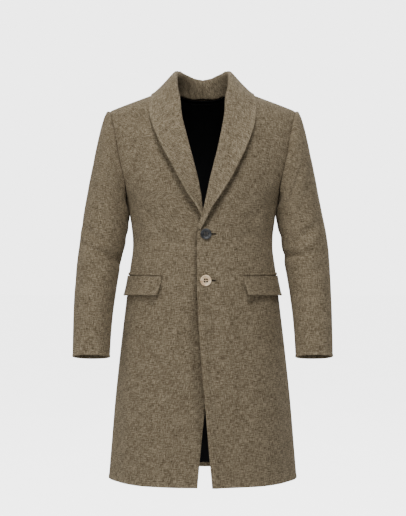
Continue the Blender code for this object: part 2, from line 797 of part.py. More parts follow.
def flap_rows(sign):
    """The flap: slanted front end, rounded front corner, hanging a little off the body."""
    off = CLOTH / 2 + SEAT + FLAP_CLOTH / 2
    rows = []
    for j in range(FLAP_ROWS + 1):
        down = j / FLAP_ROWS
        row = []
        for i in range(FLAP_COLUMNS + 1):
            along = i / FLAP_COLUMNS
            front_lean = FLAP_SLANT * down
            distance = front_lean + (FLAP_LENGTH - front_lean) * along
            corner = max(0.0, 1 - (distance - front_lean) / FLAP_CORNER)
            sag = FLAP_SAG * down * (distance / FLAP_LENGTH)**2
            drop = FLAP_DROP * down + sag - 0.35 * FLAP_CORNER * down**3 * corner**2
            flare = FLAP_FLARE * down**1.5
            row.append(pocket_point(distance, POCKET_TOP - drop, off + flare, sign))
        rows.append(row)
    return rows


def jet_rows(sign):
    off = CLOTH / 2 + SEAT + JET_CLOTH / 2
    rows = []
    for j in (0, 1):
        height = POCKET_TOP + 2 * SEAM + JET_HEIGHT * (1 - j)
        rows.append([pocket_point(FLAP_LENGTH * i / FLAP_COLUMNS, height, off, sign)
                     for i in range(FLAP_COLUMNS + 1)])
    return rows


# Buttons

def button_profile(radius):
    """Half section from the back's centre round the rim to the dished face, as (r, height)."""
    half = BUTTON_THICKNESS / 2
    return [
        (0.0, -half),
        (radius * 0.72, -half),
        (radius * 0.96, -half * 0.35),
        (radius, half * 0.25),
        (radius * 0.95, half * 0.80),
        (radius * 0.84, half),
        (radius * 0.70, half * 0.72),
        (radius * 0.60, half * 0.22),
        (0.0, half * 0.12),
    ]


def add_button(name, button, collection, cutters, finish):
    mesh = bpy.data.meshes.new(name)
    bm = bmesh.new()
    verts = [bm.verts.new((r, 0, h)) for r, h in reversed(button_profile(button.radius))]
    for a, b in zip(verts, verts[1:]):
        bm.edges.new((a, b))
    bm.to_mesh(mesh)
    bm.free()
    made = add_object(name, mesh, collection, finish)
    turn = made.modifiers.new("turn", "SCREW")
    turn.angle = 2 * math.pi
    turn.steps = BUTTON_STEPS
    turn.render_steps = BUTTON_STEPS
    turn.use_merge_vertices = True
    turn.merge_threshold = 0.0001
    turn.use_smooth_shade = True
    for i in range(4):
        around = math.pi / 4 + i * math.pi / 2
        hole = add_hole(f"{name}_hole_{i + 1}", cutters)
        hole.parent = made
        hole.location = (BUTTON_HOLE_OFFSET * math.cos(around),
                         BUTTON_HOLE_OFFSET * math.sin(around), 0)
        cut = made.modifiers.new("cut", "BOOLEAN")
        cut.object = hole
        cut.operation = "DIFFERENCE"
        cut.solver = "EXACT"
    base = form_point(angle_at(button.across, button.height, FRONT), button.height)
    normal, _ = form_normal(base)
    seat = base + normal * (CLOTH / 2 + SEAT + BUTTON_THICKNESS / 2)
    made.location = seat - Vector((0, 0, NECK_HEIGHT))
    made.rotation_euler = normal.to_track_quat("Z", "Y").to_euler()
    return made


def add_hole(name, cutters):
    mesh = bpy.data.meshes.new(name)
    bm = bmesh.new()
    bmesh.ops.create_cone(bm, cap_ends=True, segments=8, radius1=BUTTON_HOLE_RADIUS,
                          radius2=BUTTON_HOLE_RADIUS, depth=BUTTON_THICKNESS * 3)
    bm.to_mesh(mesh)
    bm.free()
    hole = bpy.data.objects.new(name, mesh)
    cutters.objects.link(hole)
    hole.hide_render = True
    hole.display_type = "WIRE"
    return hole


# Putting the coat together

def clear_scene():
    for old in list(bpy.data.objects):
        bpy.data.objects.remove(old)


def new_collection(name, hidden):
    made = bpy.data.collections.new(name)
    bpy.context.scene.collection.children.link(made)
    made.hide_render = hidden
    return made


def main():
    clear_scene()
    coat = new_collection("shawl_collar_overcoat", False)
    cutters = new_collection("cutters", True)
    middle = bpy.data.objects.new("coat", None)
    coat.objects.link(middle)

    tweed = material("tweed", (0.190, 0.150, 0.100), 0.95)
    collar_tweed = material("collar_tweed", (0.235, 0.190, 0.130), 0.95)
    black_lining = material("black_lining", (0.012, 0.011, 0.012), 0.45)
    dark_horn = material("dark_horn", (0.030, 0.036, 0.048), 0.35)
    cream_horn = material("cream_horn", (0.560, 0.430, 0.270), 0.40)

    sides = {"left": 1, "right": -1}
    lapels = {"left": LEFT_LAPEL, "right": RIGHT_LAPEL}
    edges = {"left": TOP_FRONT_EDGE, "right": UNDER_FRONT_EDGE}
    for side, sign in sides.items():
        flip = sign < 0
        cloth_piece(f"front_{side}", front_rows(sign), CLOTH, coat, tweed, flip)
        cloth_piece(f"back_{side}", back_rows(sign), CLOTH, coat, tweed, not flip)
        stations = lapels[side] + UPPER_COLLAR
        cloth_piece(f"collar_{side}", collar_rows(stations, edges[side], sign),
                    COLLAR_CLOTH, coat, collar_tweed, flip)
        top = sleeve_rows(BACK_SEAM_ANGLE - 360, FRONT_SEAM_ANGLE, TOP_SLEEVE_COLUMNS, sign)
        under = sleeve_rows(FRONT_SEAM_ANGLE, BACK_SEAM_ANGLE, UNDER_SLEEVE_COLUMNS, sign)
        cloth_piece(f"sleeve_{side}_top", top, CLOTH, coat, tweed, not flip)
        cloth_piece(f"sleeve_{side}_under", under, CLOTH, coat, tweed, not flip)
        cloth_piece(f"jet_{side}", jet_rows(sign), JET_CLOTH, coat, tweed, not flip)
        cloth_piece(f"flap_{side}", flap_rows(sign), FLAP_CLOTH, coat, tweed, not flip)
    cloth_piece("lining_back", lining_rows(), LINING_CLOTH, coat, black_lining)
    add_button("button_top", TOP_BUTTON, coat, cutters, dark_horn)
    add_button("button_lower", LOWER_BUTTON, coat, cutters, cream_horn)


main()
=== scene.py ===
"""The looks of a single-breasted wool overcoat with a shawl collar, worn and hanging freely.

Metres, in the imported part's frame: +Z up, the coat faces -Y, the wearer's left is +X, and the
origin is between the neck points. Heights in the tables are measured up from the hem. Every
cloth piece is a thin closed wall round a fine grid of middle points on the coat's own form,
with round edges, sunken seams and soft creases.
"""

import math
from collections import namedtuple

import bmesh
import bpy
import numpy as np
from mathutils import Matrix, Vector


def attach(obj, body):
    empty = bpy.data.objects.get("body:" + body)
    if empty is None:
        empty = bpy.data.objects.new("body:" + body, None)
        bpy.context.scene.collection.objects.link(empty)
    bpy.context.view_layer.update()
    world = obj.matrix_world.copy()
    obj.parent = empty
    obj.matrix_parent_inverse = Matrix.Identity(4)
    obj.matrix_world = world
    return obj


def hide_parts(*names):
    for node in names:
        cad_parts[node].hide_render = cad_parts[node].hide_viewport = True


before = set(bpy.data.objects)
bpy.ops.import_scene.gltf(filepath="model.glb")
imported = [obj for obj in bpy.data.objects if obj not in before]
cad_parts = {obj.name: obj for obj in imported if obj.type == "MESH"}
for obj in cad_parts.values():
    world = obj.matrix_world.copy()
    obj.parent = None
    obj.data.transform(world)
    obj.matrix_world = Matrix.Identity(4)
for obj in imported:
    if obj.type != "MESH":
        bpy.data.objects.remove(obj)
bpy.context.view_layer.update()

# Driving sizes, the same as the solids'
NECK_HEIGHT = 0.990      # neck point above the hem; the origin's height
CHEST_LINE = 0.704       # underarm height, where the shoulder dome starts
TOP_LEVEL = 1.000        # level of the shoulder seam
DOME_HEIGHT = TOP_LEVEL - CHEST_LINE
DOME_POWER = 2.5
CLOTH = 0.0026
COLLAR_CLOTH = 0.0030
LINING_CLOTH = 0.0010
FLAP_CLOTH = 0.0030
JET_CLOTH = 0.0020
SEAT = 0.0006            # gap under a flap, a welt or a button
COLLAR_LIFT = 0.0037     # collar's middle surface over the body's
PLY_DROP = 0.0034        # how far an under ply lies below the one on top
CROSSING_DROP = 0.0056   # and how much further where the lapels cross

# Soft relief that the solids leave out or have weaker
RIDGE_LIFT = -0.0009     # how much closer the collar lies over the shoulder
RIDGE_LEVELS = (0.880, 0.990)
EDGE_OPEN = 0.0128       # how much further the lapel's edge stands off the chest
EDGE_OPEN_POWER = 2.2
FRONT_ROLL = 0.0054      # how far the top front's edge rolls up off the under front
FRONT_ROLL_SHARE = 0.35  # and what is left of that above the skirt
FRONT_ROLL_CREST = 0.0095
FRONT_ROLL_WIDTH = 0.0095
EDGE_DIP = 0.0085        # how far the under front dips in beside that edge
EDGE_DIP_REACH = 0.010
EDGE_DIP_WIDER = 0.026   # and how much wider and deeper the dip is in the skirt
EDGE_DIP_DEEPER = 0.0080
LAPEL_DIP = 0.0062       # how far the chest dips in beside the lapels' outer edges
LAPEL_DIP_WIDTH = 0.0100
LAPEL_DIP_OFF = 0.004
LAPEL_DIP_START = 0.004  # how far below the lapel's lower end it starts
LAPEL_DIP_FULL = 0.020   # and how far above that end it is at its full depth

# Columns and rows of the grids, without the close ones at their borders
FRONT_COLUMNS, BACK_COLUMNS = 46, 42
LINING_LOW_ROWS, LINING_DOME_ROWS, LINING_COLUMNS = 70, 30, 80
COLLAR_ROWS, COLLAR_COLUMNS, FALL_STEPS, STAND_STEPS = 170, 40, 120, 40
SLEEVE_ROWS, TOP_SLEEVE_COLUMNS, UNDER_SLEEVE_COLUMNS = 122, 52, 28
FLAP_ROWS, JET_ROWS, POCKET_COLUMNS = 16, 4, 44
LINE_STEPS = 241         # on a line along which distances are measured


def table(row_kind, *rows):
    return [row_kind(*row) for row in rows]


Girth = namedtuple("Girth", "level half_width front back centre fullness")
GIRTHS = table(
    Girth,
    (0.000, 0.2362, 0.152, 0.162, 0.000, 2.05), (0.070, 0.2305, 0.150, 0.159, 0.000, 2.05),
    (0.190, 0.2215, 0.147, 0.153, 0.000, 2.08), (0.315, 0.2090, 0.144, 0.147, 0.000, 2.12),
    (0.435, 0.1950, 0.140, 0.139, 0.000, 2.15), (0.528, 0.1840, 0.136, 0.129, 0.000, 2.20),
    (0.590, 0.1765, 0.132, 0.121, 0.000, 2.20), (0.641, 0.1800, 0.131, 0.122, 0.000, 2.20),
    (0.680, 0.1865, 0.133, 0.128, 0.000, 2.20), (0.704, 0.1935, 0.134, 0.132, 0.000, 2.20),
    (0.755, 0.2110, 0.134, 0.136, 0.002, 2.20), (0.830, 0.2370, 0.133, 0.139, 0.006, 2.20),
    (0.900, 0.2550, 0.131, 0.139, 0.010, 2.20), (1.000, 0.2710, 0.128, 0.136, 0.014, 2.20),
)

Ridge = namedtuple("Ridge", "across height")
RIDGE = table(
    Ridge,
    (0.000, 1.0130), (0.060, 1.0030), (0.085, 0.9920), (0.125, 0.9750), (0.180, 0.9545),
    (0.221, 0.9390), (0.2365, 0.9325), (0.280, 0.9100),
)

Armhole = namedtuple("Armhole", "level front back")
ARMHOLE = table(
    Armhole,
    (0.704, 0.1930, 0.1930), (0.720, 0.1932, 0.1932), (0.742, 0.1937, 0.1937),
    (0.790, 0.2005, 0.2005), (0.837, 0.2090, 0.2100), (0.890, 0.2165, 0.2180),
    (0.937, 0.2240, 0.2250), (0.970, 0.2305, 0.2310), (1.000, 0.2365, 0.2365),
)

Edge = namedtuple("Edge", "level across")
TOP_FRONT_EDGE = table(
    Edge,
    (0.000, 0.0230), (0.100, 0.0140), (0.197, 0.0062), (0.245, 0.0018), (0.310, -0.0038),
    (0.380, -0.0085), (0.435, -0.0120), (0.500, -0.0142), (0.610, -0.0138), (0.634, -0.0090),
    (0.650, -0.0024), (0.664, 0.0022), (0.676, 0.0062), (0.693, 0.0102), (0.716, 0.0150),
    (0.742, 0.0207), (0.783, 0.0312), (0.842, 0.0455), (0.892, 0.0552), (0.922, 0.0600),
    (0.945, 0.0650), (0.971, 0.0730), (0.985, 0.0790), (1.000, 0.0860),
)
UNDER_FRONT_EDGE = table(
    Edge,
    (0.000, 0.0128), (0.100, 0.0042), (0.197, -0.0066), (0.245, -0.0110), (0.310, -0.0150),
    (0.435, -0.0180), (0.500, -0.0200), (0.625, -0.0200), (0.645, -0.0130), (0.660, -0.0040),
    (0.676, 0.0034), (0.688, 0.0068), (0.715, 0.0088), (0.734, 0.0125), (0.783, 0.0247),
    (0.832, 0.0376), (0.874, 0.0485), (0.922, 0.0590), (0.945, 0.0645), (0.971, 0.0730),
    (0.985, 0.0790), (1.000, 0.0860),
)
BREAK_LEVEL = 0.640       # where the front edge turns into the lapel's roll line
BACK_NECK_LEVEL = 0.962
NECK_HALF_WIDTH = 0.0860
NECK_CURVE = 2.4
NECK_BEND_LEVEL = 0.850
VENT_TOP = 0.430
VENT_LAP = 0.038

# Heights between which a form of the front edge, the lapels or the vent starts or ends
DIP_NARROWS = (0.36, 0.50)
DIP_ENDS = (BREAK_LEVEL - 0.04, BREAK_LEVEL)
ROLL_LOWERS = (0.46, 0.53)
ROLL_ENDS = (BREAK_LEVEL - 0.06, BREAK_LEVEL - 0.01)
SWELL_ENDS = (BREAK_LEVEL - 0.03, BREAK_LEVEL + 0.01)
LAPEL_OPENS = (0.628, 0.672)
LAPEL_CLOSES = (0.86, 0.95)
LAPEL_DIP_ENDS = (0.80, 0.90)
VENT_CLOSES = (VENT_TOP - 0.020, VENT_TOP + 0.012)

Sinking = namedtuple("Sinking", "across_from across_to foot_from foot_to head_from head_to")
UNDER_FRONT = Sinking(-0.075, -0.018, -1.000, -0.900, 0.690, 0.760)
LAPEL_CROSSING = Sinking(-0.075, -0.018, 0.560, 0.650, 0.700, 0.780)
UNDER_VENT = Sinking(-0.034, -0.008, -1.000, -0.900, 0.452, 0.530)

LINING_HEM = 0.014
LINING_NECK = 0.994
LINING_SHORT = 0.004
LINING_ARMHOLE = 0.006
LINING_DEPTH = 0.0074

# Soft folds of the whole body, by the angle round from the front centre in degrees
Fold = namedtuple("Fold", "foot head around drift spread depth")
BODY_FOLDS = table(
    Fold,
    (0.000, 0.400, 38, -6, 9, 0.0040), (0.000, 0.470, 66, 5, 10, -0.0045),
    (0.000, 0.380, 96, 4, 11, 0.0032), (0.000, 0.430, 128, -5, 12, -0.0050),
    (0.000, 0.360, 154, -4, 9, 0.0040), (0.560, 0.700, 28, 20, 7, -0.0030),
    (0.600, 0.780, 60, 14, 9, -0.0035), (0.590, 0.730, 122, -8, 9, -0.0040),
    (0.640, 0.800, 146, -10, 10, -0.0030),
)

# Smaller creases of the cloth, placed as they are seen from the front or the back: the middle
# of each, its slant from level in degrees, its length and width, and how far it stands out
Drag = namedtuple("Drag", "across height slant length width depth")
FRONT, BACK = -1, 1
DRAGS = {
    FRONT: table(
        Drag,
        (0.128, 0.668, 24, 0.110, 0.0110, -0.0016), (0.142, 0.640, 15, 0.090, 0.0100, 0.0013),
        (0.120, 0.612, 6, 0.120, 0.0120, -0.0014), (-0.130, 0.672, -26, 0.100, 0.0110, -0.0016),
        (-0.140, 0.645, -14, 0.090, 0.0090, 0.0012), (-0.112, 0.606, -5, 0.130, 0.0130, -0.0015),
        (0.060, 0.598, 8, 0.080, 0.0100, -0.0010), (-0.062, 0.590, -9, 0.080, 0.0100, -0.0010),
        (0.165, 0.790, 66, 0.100, 0.0130, -0.0018), (-0.166, 0.800, -68, 0.100, 0.0130, -0.0018),
        (0.070, 0.420, 80, 0.160, 0.0170, 0.0012), (-0.085, 0.380, -82, 0.180, 0.0180, 0.0014),
        (0.105, 0.300, 84, 0.220, 0.0160, -0.0012), (-0.120, 0.260, -86, 0.200, 0.0180, -0.0013),
        (0.045, 0.180, 86, 0.180, 0.0150, 0.0010),
    ),
    BACK: table(
        Drag,
        (0.110, 0.640, 12, 0.130, 0.0130, -0.0022), (-0.105, 0.652, -14, 0.130, 0.0120, -0.0020),
        (0.080, 0.610, 4, 0.150, 0.0140, -0.0020), (-0.085, 0.602, -3, 0.140, 0.0130, -0.0022),
        (0.090, 0.575, -6, 0.130, 0.0120, 0.0014), (-0.070, 0.570, 7, 0.120, 0.0120, 0.0013),
        (0.150, 0.800, -62, 0.130, 0.0150, -0.0028), (-0.152, 0.790, 64, 0.130, 0.0150, -0.0026),
        (0.130, 0.740, -50, 0.100, 0.0120, 0.0016), (-0.128, 0.745, 52, 0.100, 0.0120, 0.0015),
        (0.060, 0.330, 86, 0.260, 0.0170, 0.0016), (-0.100, 0.300, -84, 0.260, 0.0180, -0.0016),
        (0.120, 0.220, 84, 0.220, 0.0160, -0.0015),
    ),
}

# Stations of the collar: its seam's level on the front edge or its place across the back of the
# neck, its outer edge on the body, and the crest of its roll where it stands up
Station = namedtuple("Station", "seam_level edge_x edge_z edge_side seam_x roll_x roll_y roll_z",
                     defaults=(FRONT, None, None, None, None))
LEFT_LAPEL = table(
    Station,
    (0.634, -0.0050, 0.6265), (0.650, 0.0062, 0.6510), (0.676, 0.0185, 0.6795),
    (0.707, 0.0412, 0.7130), (0.745, 0.0660, 0.7520), (0.790, 0.0880, 0.7950),
    (0.832, 0.1060, 0.8340), (0.873, 0.1200, 0.8710), (0.912, 0.1290, 0.9040),
)
RIGHT_LAPEL = table(
    Station,
    (0.664, 0.0000, 0.6610), (0.672, 0.0065, 0.6740), (0.684, 0.0140, 0.6880),
    (0.707, 0.0325, 0.7130), (0.745, 0.0545, 0.7520), (0.790, 0.0770, 0.7950),
    (0.832, 0.0985, 0.8340), (0.873, 0.1150, 0.8710), (0.912, 0.1275, 0.9040),
)
UPPER_COLLAR = table(
    Station,
    (0.944, 0.1325, 0.9320, FRONT, None, 0.0615, -0.0800, 0.9620),
    (0.970, 0.1310, 0.9570, FRONT, None, 0.0690, -0.0460, 1.0040),
    (None, 0.1250, 0.9760, BACK, 0.0815, 0.0685, 0.0020, 1.0350),
    (None, 0.1190, 0.9660, BACK, 0.0700, 0.0580, 0.0430, 1.0405),
    (None, 0.0980, 0.9540, BACK, 0.0490, 0.0390, 0.0710, 1.0345),
    (None, 0.0540, 0.9450, BACK, 0.0250, 0.0200, 0.0870, 1.0290),
    (None, 0.0000, 0.9420, BACK, 0.0000, 0.0000, 0.0925, 1.0265),
)
STATIONS = {"left": LEFT_LAPEL + UPPER_COLLAR, "right": RIGHT_LAPEL + UPPER_COLLAR}
COLLAR_INSET = 0.0028
NECK_RAISE = 0.0032

Ring = namedtuple("Ring", "outer_x outer_z inner_x inner_z centre_y half_depth tilt")
SLEEVE_RINGS = table(
    Ring,
    (0.2375, 0.9325, 0.1960, 0.7035, 0.003, 0.0700, 0),
    (0.2435, 0.9310, 0.1964, 0.7010, 0.003, 0.0715, 0),
    (0.2490, 0.9220, 0.1966, 0.6980, 0.003, 0.0725, 0),
    (0.2560, 0.8990, 0.1950, 0.6930, 0.003, 0.0740, 0),
    (0.2635, 0.8670, 0.1928, 0.6865, 0.003, 0.0750, 0),
    (0.2720, 0.8280, 0.1906, 0.6775, 0.003, 0.0755, 0),
    (0.2825, 0.7780, 0.1894, 0.6640, 0.003, 0.0750, 0),
    (0.2945, 0.7120, 0.1920, 0.6410, 0.001, 0.0740, 0),
    (0.3055, 0.6450, 0.1986, 0.6060, -0.003, 0.0725, 1),
    (0.3120, 0.5890, 0.2062, 0.5660, -0.011, 0.0705, 3),
    (0.3172, 0.5380, 0.2130, 0.5220, -0.023, 0.0680, 6),
    (0.3205, 0.4800, 0.2200, 0.4700, -0.040, 0.0640, 8),
    (0.3215, 0.4200, 0.2265, 0.4130, -0.058, 0.0600, 10),
    (0.3212, 0.3620, 0.2298, 0.3590, -0.075, 0.0560, 10),
    (0.3205, 0.3140, 0.2312, 0.3140, -0.090, 0.0540, 10),
)
CUFF_STATION = len(SLEEVE_RINGS) - 1
HEAD_STATIONS = 4.5
SLEEVE_FULLNESS = 2.15
FRONT_SEAM_ANGLE = 122
BACK_SEAM_ANGLE = 248
ARMHOLE_EASE_TOP = -0.0003
ARMHOLE_EASE_BOTTOM = 0.0004
ARMHOLE_EASE_POWER = 0.6
ROPE = 0.0012             # how far the sleeve's head stands up beside the armhole seam
ROPE_DOWN = 0.006
ROPE_WIDTH = 0.005
CUFF_GROOVE = 0.0005      # depth of the line that the turned-up cuff presses into the cloth
CUFF_GROOVE_UP = 0.0075   # and its distance from the rim
CUFF_GROOVE_WIDTH = 0.0016

# Creases of the sleeves: the first table is in the solids as well, the others are finer
Crease = namedtuple("Crease", "station around slant reach width depth")
SLEEVE_CREASES = table(
    Crease,
    (7.5, 95, 0.4, 50, 0.24, -0.0035), (8.0, 215, 0.3, 50, 0.34, -0.0050),
    (9.2, 260, -0.3, 55, 0.36, 0.0040), (5.6, 110, 0.8, 45, 0.45, -0.0050),
)
FINE_CREASES = {
    "left": table(
        Crease,
        (8.15, 85, 0.30, 42, 0.22, -0.0058), (8.65, 70, 0.25, 45, 0.18, 0.0022),
        (9.20, 128, -0.20, 62, 0.24, -0.0080), (9.65, 100, -0.10, 50, 0.20, 0.0026),
        (10.2, 75, 0.30, 45, 0.24, -0.0035), (11.2, 115, -0.25, 50, 0.30, -0.0030),
        (6.9, 80, 0.55, 42, 0.22, -0.0026), (6.2, 60, 0.9, 45, 0.30, -0.0016),
        (8.7, 235, 0.3, 40, 0.20, -0.0024), (3.8, 75, 0.8, 40, 0.36, -0.0014),
        (4.6, 285, -0.7, 40, 0.36, -0.0018), (9.0, 5, 0.0, 45, 1.30, 0.0045),
        (4.9, 180, 0.0, 45, 1.30, 0.0034),
    ),
    "right": table(
        Crease,
        (8.30, 62, 0.20, 42, 0.22, -0.0062), (8.75, 70, 0.35, 48, 0.18, 0.0026),
        (9.25, 118, 0.25, 60, 0.24, -0.0080), (9.75, 90, 0.20, 50, 0.20, 0.0026),
        (10.3, 70, -0.25, 42, 0.24, -0.0030), (11.0, 70, 0.25, 45, 0.32, -0.0040),
        (7.0, 70, 0.60, 44, 0.22, -0.0026), (6.4, 50, 0.8, 45, 0.28, -0.0018),
        (8.5, 240, -0.3, 40, 0.20, -0.0022), (4.1, 70, 0.9, 40, 0.34, -0.0015),
        (4.9, 290, -0.6, 40, 0.36, -0.0016), (7.9, 175, 0.0, 40, 0.90, 0.0042),
        (4.9, 180, 0.0, 45, 1.30, 0.0034),
    ),
}

POCKET_FRONT_X = 0.0975
POCKET_TOP = 0.5140
POCKET_ANGLE = math.radians(80)   # round the body, further than a flap reaches
POCKET_STEPS = 161
FLAP_LENGTH = 0.150
FLAP_DROP = 0.0465
FLAP_SLANT = 0.0085
FLAP_CORNER = 0.008
FLAP_FLARE = 0.0045
FLAP_CORNER_FLARE = 0.0085
FLAP_CORNER_REACH = 0.035
FLAP_SAG = 0.0050
JET_HEIGHT = 0.0085
JET_SHORT = 0.0030
JET_ROLL = 0.0010
SEAM = 0.0003

Button = namedtuple("Button", "across height radius")
TOP_BUTTON = Button(0.0080, 0.6178, 0.0135)
LOWER_BUTTON = Button(0.0077, 0.5040, 0.0136)
BUTTON_THICKNESS = 0.0042
BUTTON_HOLE_RADIUS = 0.0023
BUTTON_HOLE_OFFSET = 0.0040
BUTTON_STEPS = 72
HOLE_STEPS = 20

# Half section from the back's centre round the rim to the dished face, in shares of a button's
# radius and of half its thickness
BUTTON_PROFILE = [
    (0, -1), (0.72, -1), (0.90, -0.70), (0.975, -0.25), (1, 0.20), (0.985, 0.55), (0.945, 0.84),
    (0.885, 1), (0.820, 0.98), (0.760, 0.80), (0.715, 0.50), (0.660, 0.26), (0.560, 0.16),
    (0, 0.06),
]

# Buttonholes of the top front: the inner end of each, seen from the front, and its length
Buttonhole = namedtuple("Buttonhole", "name across height length is_open")
BUTTONHOLES = [
    Buttonhole("buttonhole_top", 0.0050, 0.6178, 0.0285, True),
    Buttonhole("buttonhole_lower", 0.0040, 0.5040, 0.0285, True),
    Buttonhole("buttonhole_hem", 0.0110, 0.3790, 0.0190, False),
]
BUTTONHOLE_HALF_WIDTH = 0.0015
THREAD_RADIUS = 0.0006
STITCH_PITCH = 0.0009

# How the borders of a wall look: how soon it is at its full thickness, how much its turned
# allowance swells it and over what distance, and how deep the seam pulls it in
Border = namedtuple("Border", "radius swell reach valley")
SEWN = Border(0.0009, 0.0, 0.004, 0.0009)
TURNED = Border(0.0024, 0.0010, 0.011, 0.0)
PRESSED = Border(0.0007, 0.0, 0.003, 0.0003)
RAW = Border(0.0006, 0.0, 0.002, 0.0)
EDGE_SPOTS = np.array([0.0, 0.10, 0.35, 0.75, 1.30, 2.20])   # in border radii

VALLEY_WIDTH = 0.0032
FACING = 0.085            # tweed facing inside the front edges
HEM_TURN = 0.034          # turned-up tweed at the front hem and the cuffs
BACK_HEM_TURN = 0.014


# Curves and grids

def curve(keys, values):
    """A smooth curve through points that never overshoots, as a function of arrays."""
    keys, values = np.array(keys, float), np.array(values, float)
    steps = np.diff(values) / np.diff(keys)
    before, after = steps[:-1], steps[1:]
    agree = before * after > 0
    middle = np.where(agree, 2 * before * after / np.where(agree, before + after, 1), 0)
    slopes = np.concatenate([steps[:1], middle, steps[-1:]])

    def read(at):
        at = np.clip(at, keys[0], keys[-1])
        i = np.clip(np.searchsorted(keys, at) - 1, 0, len(keys) - 2)
        span = keys[i + 1] - keys[i]
        t = (at - keys[i]) / span
        return ((2 * t**3 - 3 * t**2 + 1) * values[i] + (t**3 - 2 * t**2 + t) * span * slopes[i]
                + (3 * t**2 - 2 * t**3) * values[i + 1] + (t**3 - t**2) * span * slopes[i + 1])

    return read


def column(rows, name):
    return [getattr(row, name) for row in rows]


def line_of(rows, key, value):
    """The curve of one column of a table over another."""
    return curve(column(rows, key), column(rows, value))


GIRTH = {name: line_of(GIRTHS, "level", name) for name in Girth._fields}
RIDGE_LINE = line_of(RIDGE, "across", "height")
ARMHOLE_LINE = {FRONT: line_of(ARMHOLE, "level", "front"), BACK: line_of(ARMHOLE, "level", "back")}
EDGE_LINES = {"left": line_of(TOP_FRONT_EDGE, "level", "across"),
              "right": line_of(UNDER_FRONT_EDGE, "level", "across")}
RING = {name: curve(range(len(SLEEVE_RINGS)), column(SLEEVE_RINGS, name)) for name in Ring._fields}
SIGNS = {"left": 1, "right": -1}


def ease(low, high, at):
    """0 below low, 1 above high, and a soft step between."""
    t = np.clip((at - low) / (high - low), 0, 1)
    return t * t * (3 - 2 * t)


def fade(span, at):
    """1 below the span, 0 above it, and a soft step between."""
    return 1 - ease(*span, at)


def signed_power(value, power):
    return np.sign(value) * np.abs(value) ** power


def bump_at(distance, width):
    return np.exp(-(distance / width) ** 2)


def running(line, axis=0):
    """The distance run along a grid's lines, from 0 at the first point."""
    steps = np.linalg.norm(np.diff(line, axis=axis), axis=-1)
    run = np.cumsum(steps, axis=axis)
    start = np.zeros_like(np.take(run, [0], axis=axis))
    return np.concatenate([start, run], axis=axis)


def points_of(x, y, z):
    """Points from coordinates that may be arrays of different shapes."""
    return np.stack(np.broadcast_arrays(x, y, z), -1)


def unit(vectors):
    return vectors / np.maximum(np.linalg.norm(vectors, axis=-1, keepdims=True), 1e-9)


def spots(length, count, low, high):
    """Distances along a length, close together at both ends, where the wall's edge is round."""
    start = EDGE_SPOTS * low.radius
    end = length - EDGE_SPOTS[::-1] * high.radius
    return np.concatenate([start, np.linspace(start[-1], end[0], count + 2)[1:-1], end])


def mirrored(grid, sign):
    return grid * np.array([sign, 1, 1])


# The body form

def dome_rise(level):
    return np.maximum(0, (level - CHEST_LINE) / DOME_HEIGHT)


def dome_share(rise):
    """How deep the shoulder's dome still is at a share of its rise, and the other way round."""
    return (1 - rise ** DOME_POWER) ** (1 / DOME_POWER)


def level_at(across, height):
    ridge = RIDGE_LINE(np.abs(across))
    rise = (height - CHEST_LINE) / (ridge - CHEST_LINE)
    return np.where(height <= CHEST_LINE, height, CHEST_LINE + rise * DOME_HEIGHT)


def form(angle, level):
    """On the body form, at an angle round from the front centre to the wearer's left."""
    power = 2 / GIRTH["fullness"](level)
    rise = np.minimum(dome_rise(level), 1)
    turn = np.cos(angle)
    reach = np.where(turn > 0, GIRTH["front"](level), GIRTH["back"](level))
    x = GIRTH["half_width"](level) * signed_power(np.sin(angle), power)
    y = GIRTH["centre"](level) - reach * dome_share(rise) * signed_power(turn, power)
    z = np.where(rise > 0, CHEST_LINE + (RIDGE_LINE(np.abs(x)) - CHEST_LINE) * rise, level)
    return points_of(x, y, z)


def form_value(points):
    """Positive inside the body form and negative outside it."""
    x, y, z = np.moveaxis(points, -1, 0)
    level = level_at(x, z)
    power = GIRTH["fullness"](level)
    depth = y - GIRTH["centre"](level)
    reach = np.where(depth < 0, GIRTH["front"](level), GIRTH["back"](level))
    dome = signed_power(1 - dome_rise(level) ** DOME_POWER, power / DOME_POWER)
    side = 1 - (np.abs(x) / GIRTH["half_width"](level)) ** power
    return side * dome - (np.abs(depth) / reach) ** power


def form_gradient(points):
    step = 0.0004
    slopes = [(form_value(points - step * axis) - form_value(points + step * axis)) / (2 * step)
              for axis in np.eye(3)]
    return np.stack(slopes, -1)


def form_normal(points):
    return unit(form_gradient(points))


LIFT_ROUNDS = 5


def lifted(points, least):
    """The points moved out until they lie at least this far outside the body form."""
    for _ in range(LIFT_ROUNDS):
        gradient = form_gradient(points)
        away = -form_value(points) / np.linalg.norm(gradient, axis=-1)
        short = np.maximum(least - away, 0)
        points = points + unit(gradient) * short[..., None]
    return points


def sunk(points, depth):
    return points - form_normal(points) * depth[..., None]


def angle_at(across, level, side):
    share = np.minimum(np.abs(across) / GIRTH["half_width"](level), 1)
    angle = np.arcsin(share ** (GIRTH["fullness"](level) / 2))
    if side == BACK:
        angle = math.pi - angle
    return np.where(across < 0, -angle, angle)


def form_at(across, level, side):
    """On the body form's front or back, at a place across it."""
    return form(angle_at(np.asarray(across), level, side), level)


def fold_offset(angle, height):
    """How far the soft folds push the cloth out."""
    total = np.zeros(np.broadcast(angle, height).shape)
    around = np.degrees(np.abs(np.where(angle > math.pi, angle - 2 * math.pi, angle)))
    for fold in BODY_FOLDS:
        along = (height - fold.foot) / (fold.head - fold.foot)
        if fold.foot == 0:
            share = fade((0.1, 1.0), along)
        else:
            share = ease(-0.2, 0.4, along) * fade((0.5, 1.0), along)
        turn = around - fold.around - fold.drift * along
        total += fold.depth * share * bump_at(turn, fold.spread)
    return total


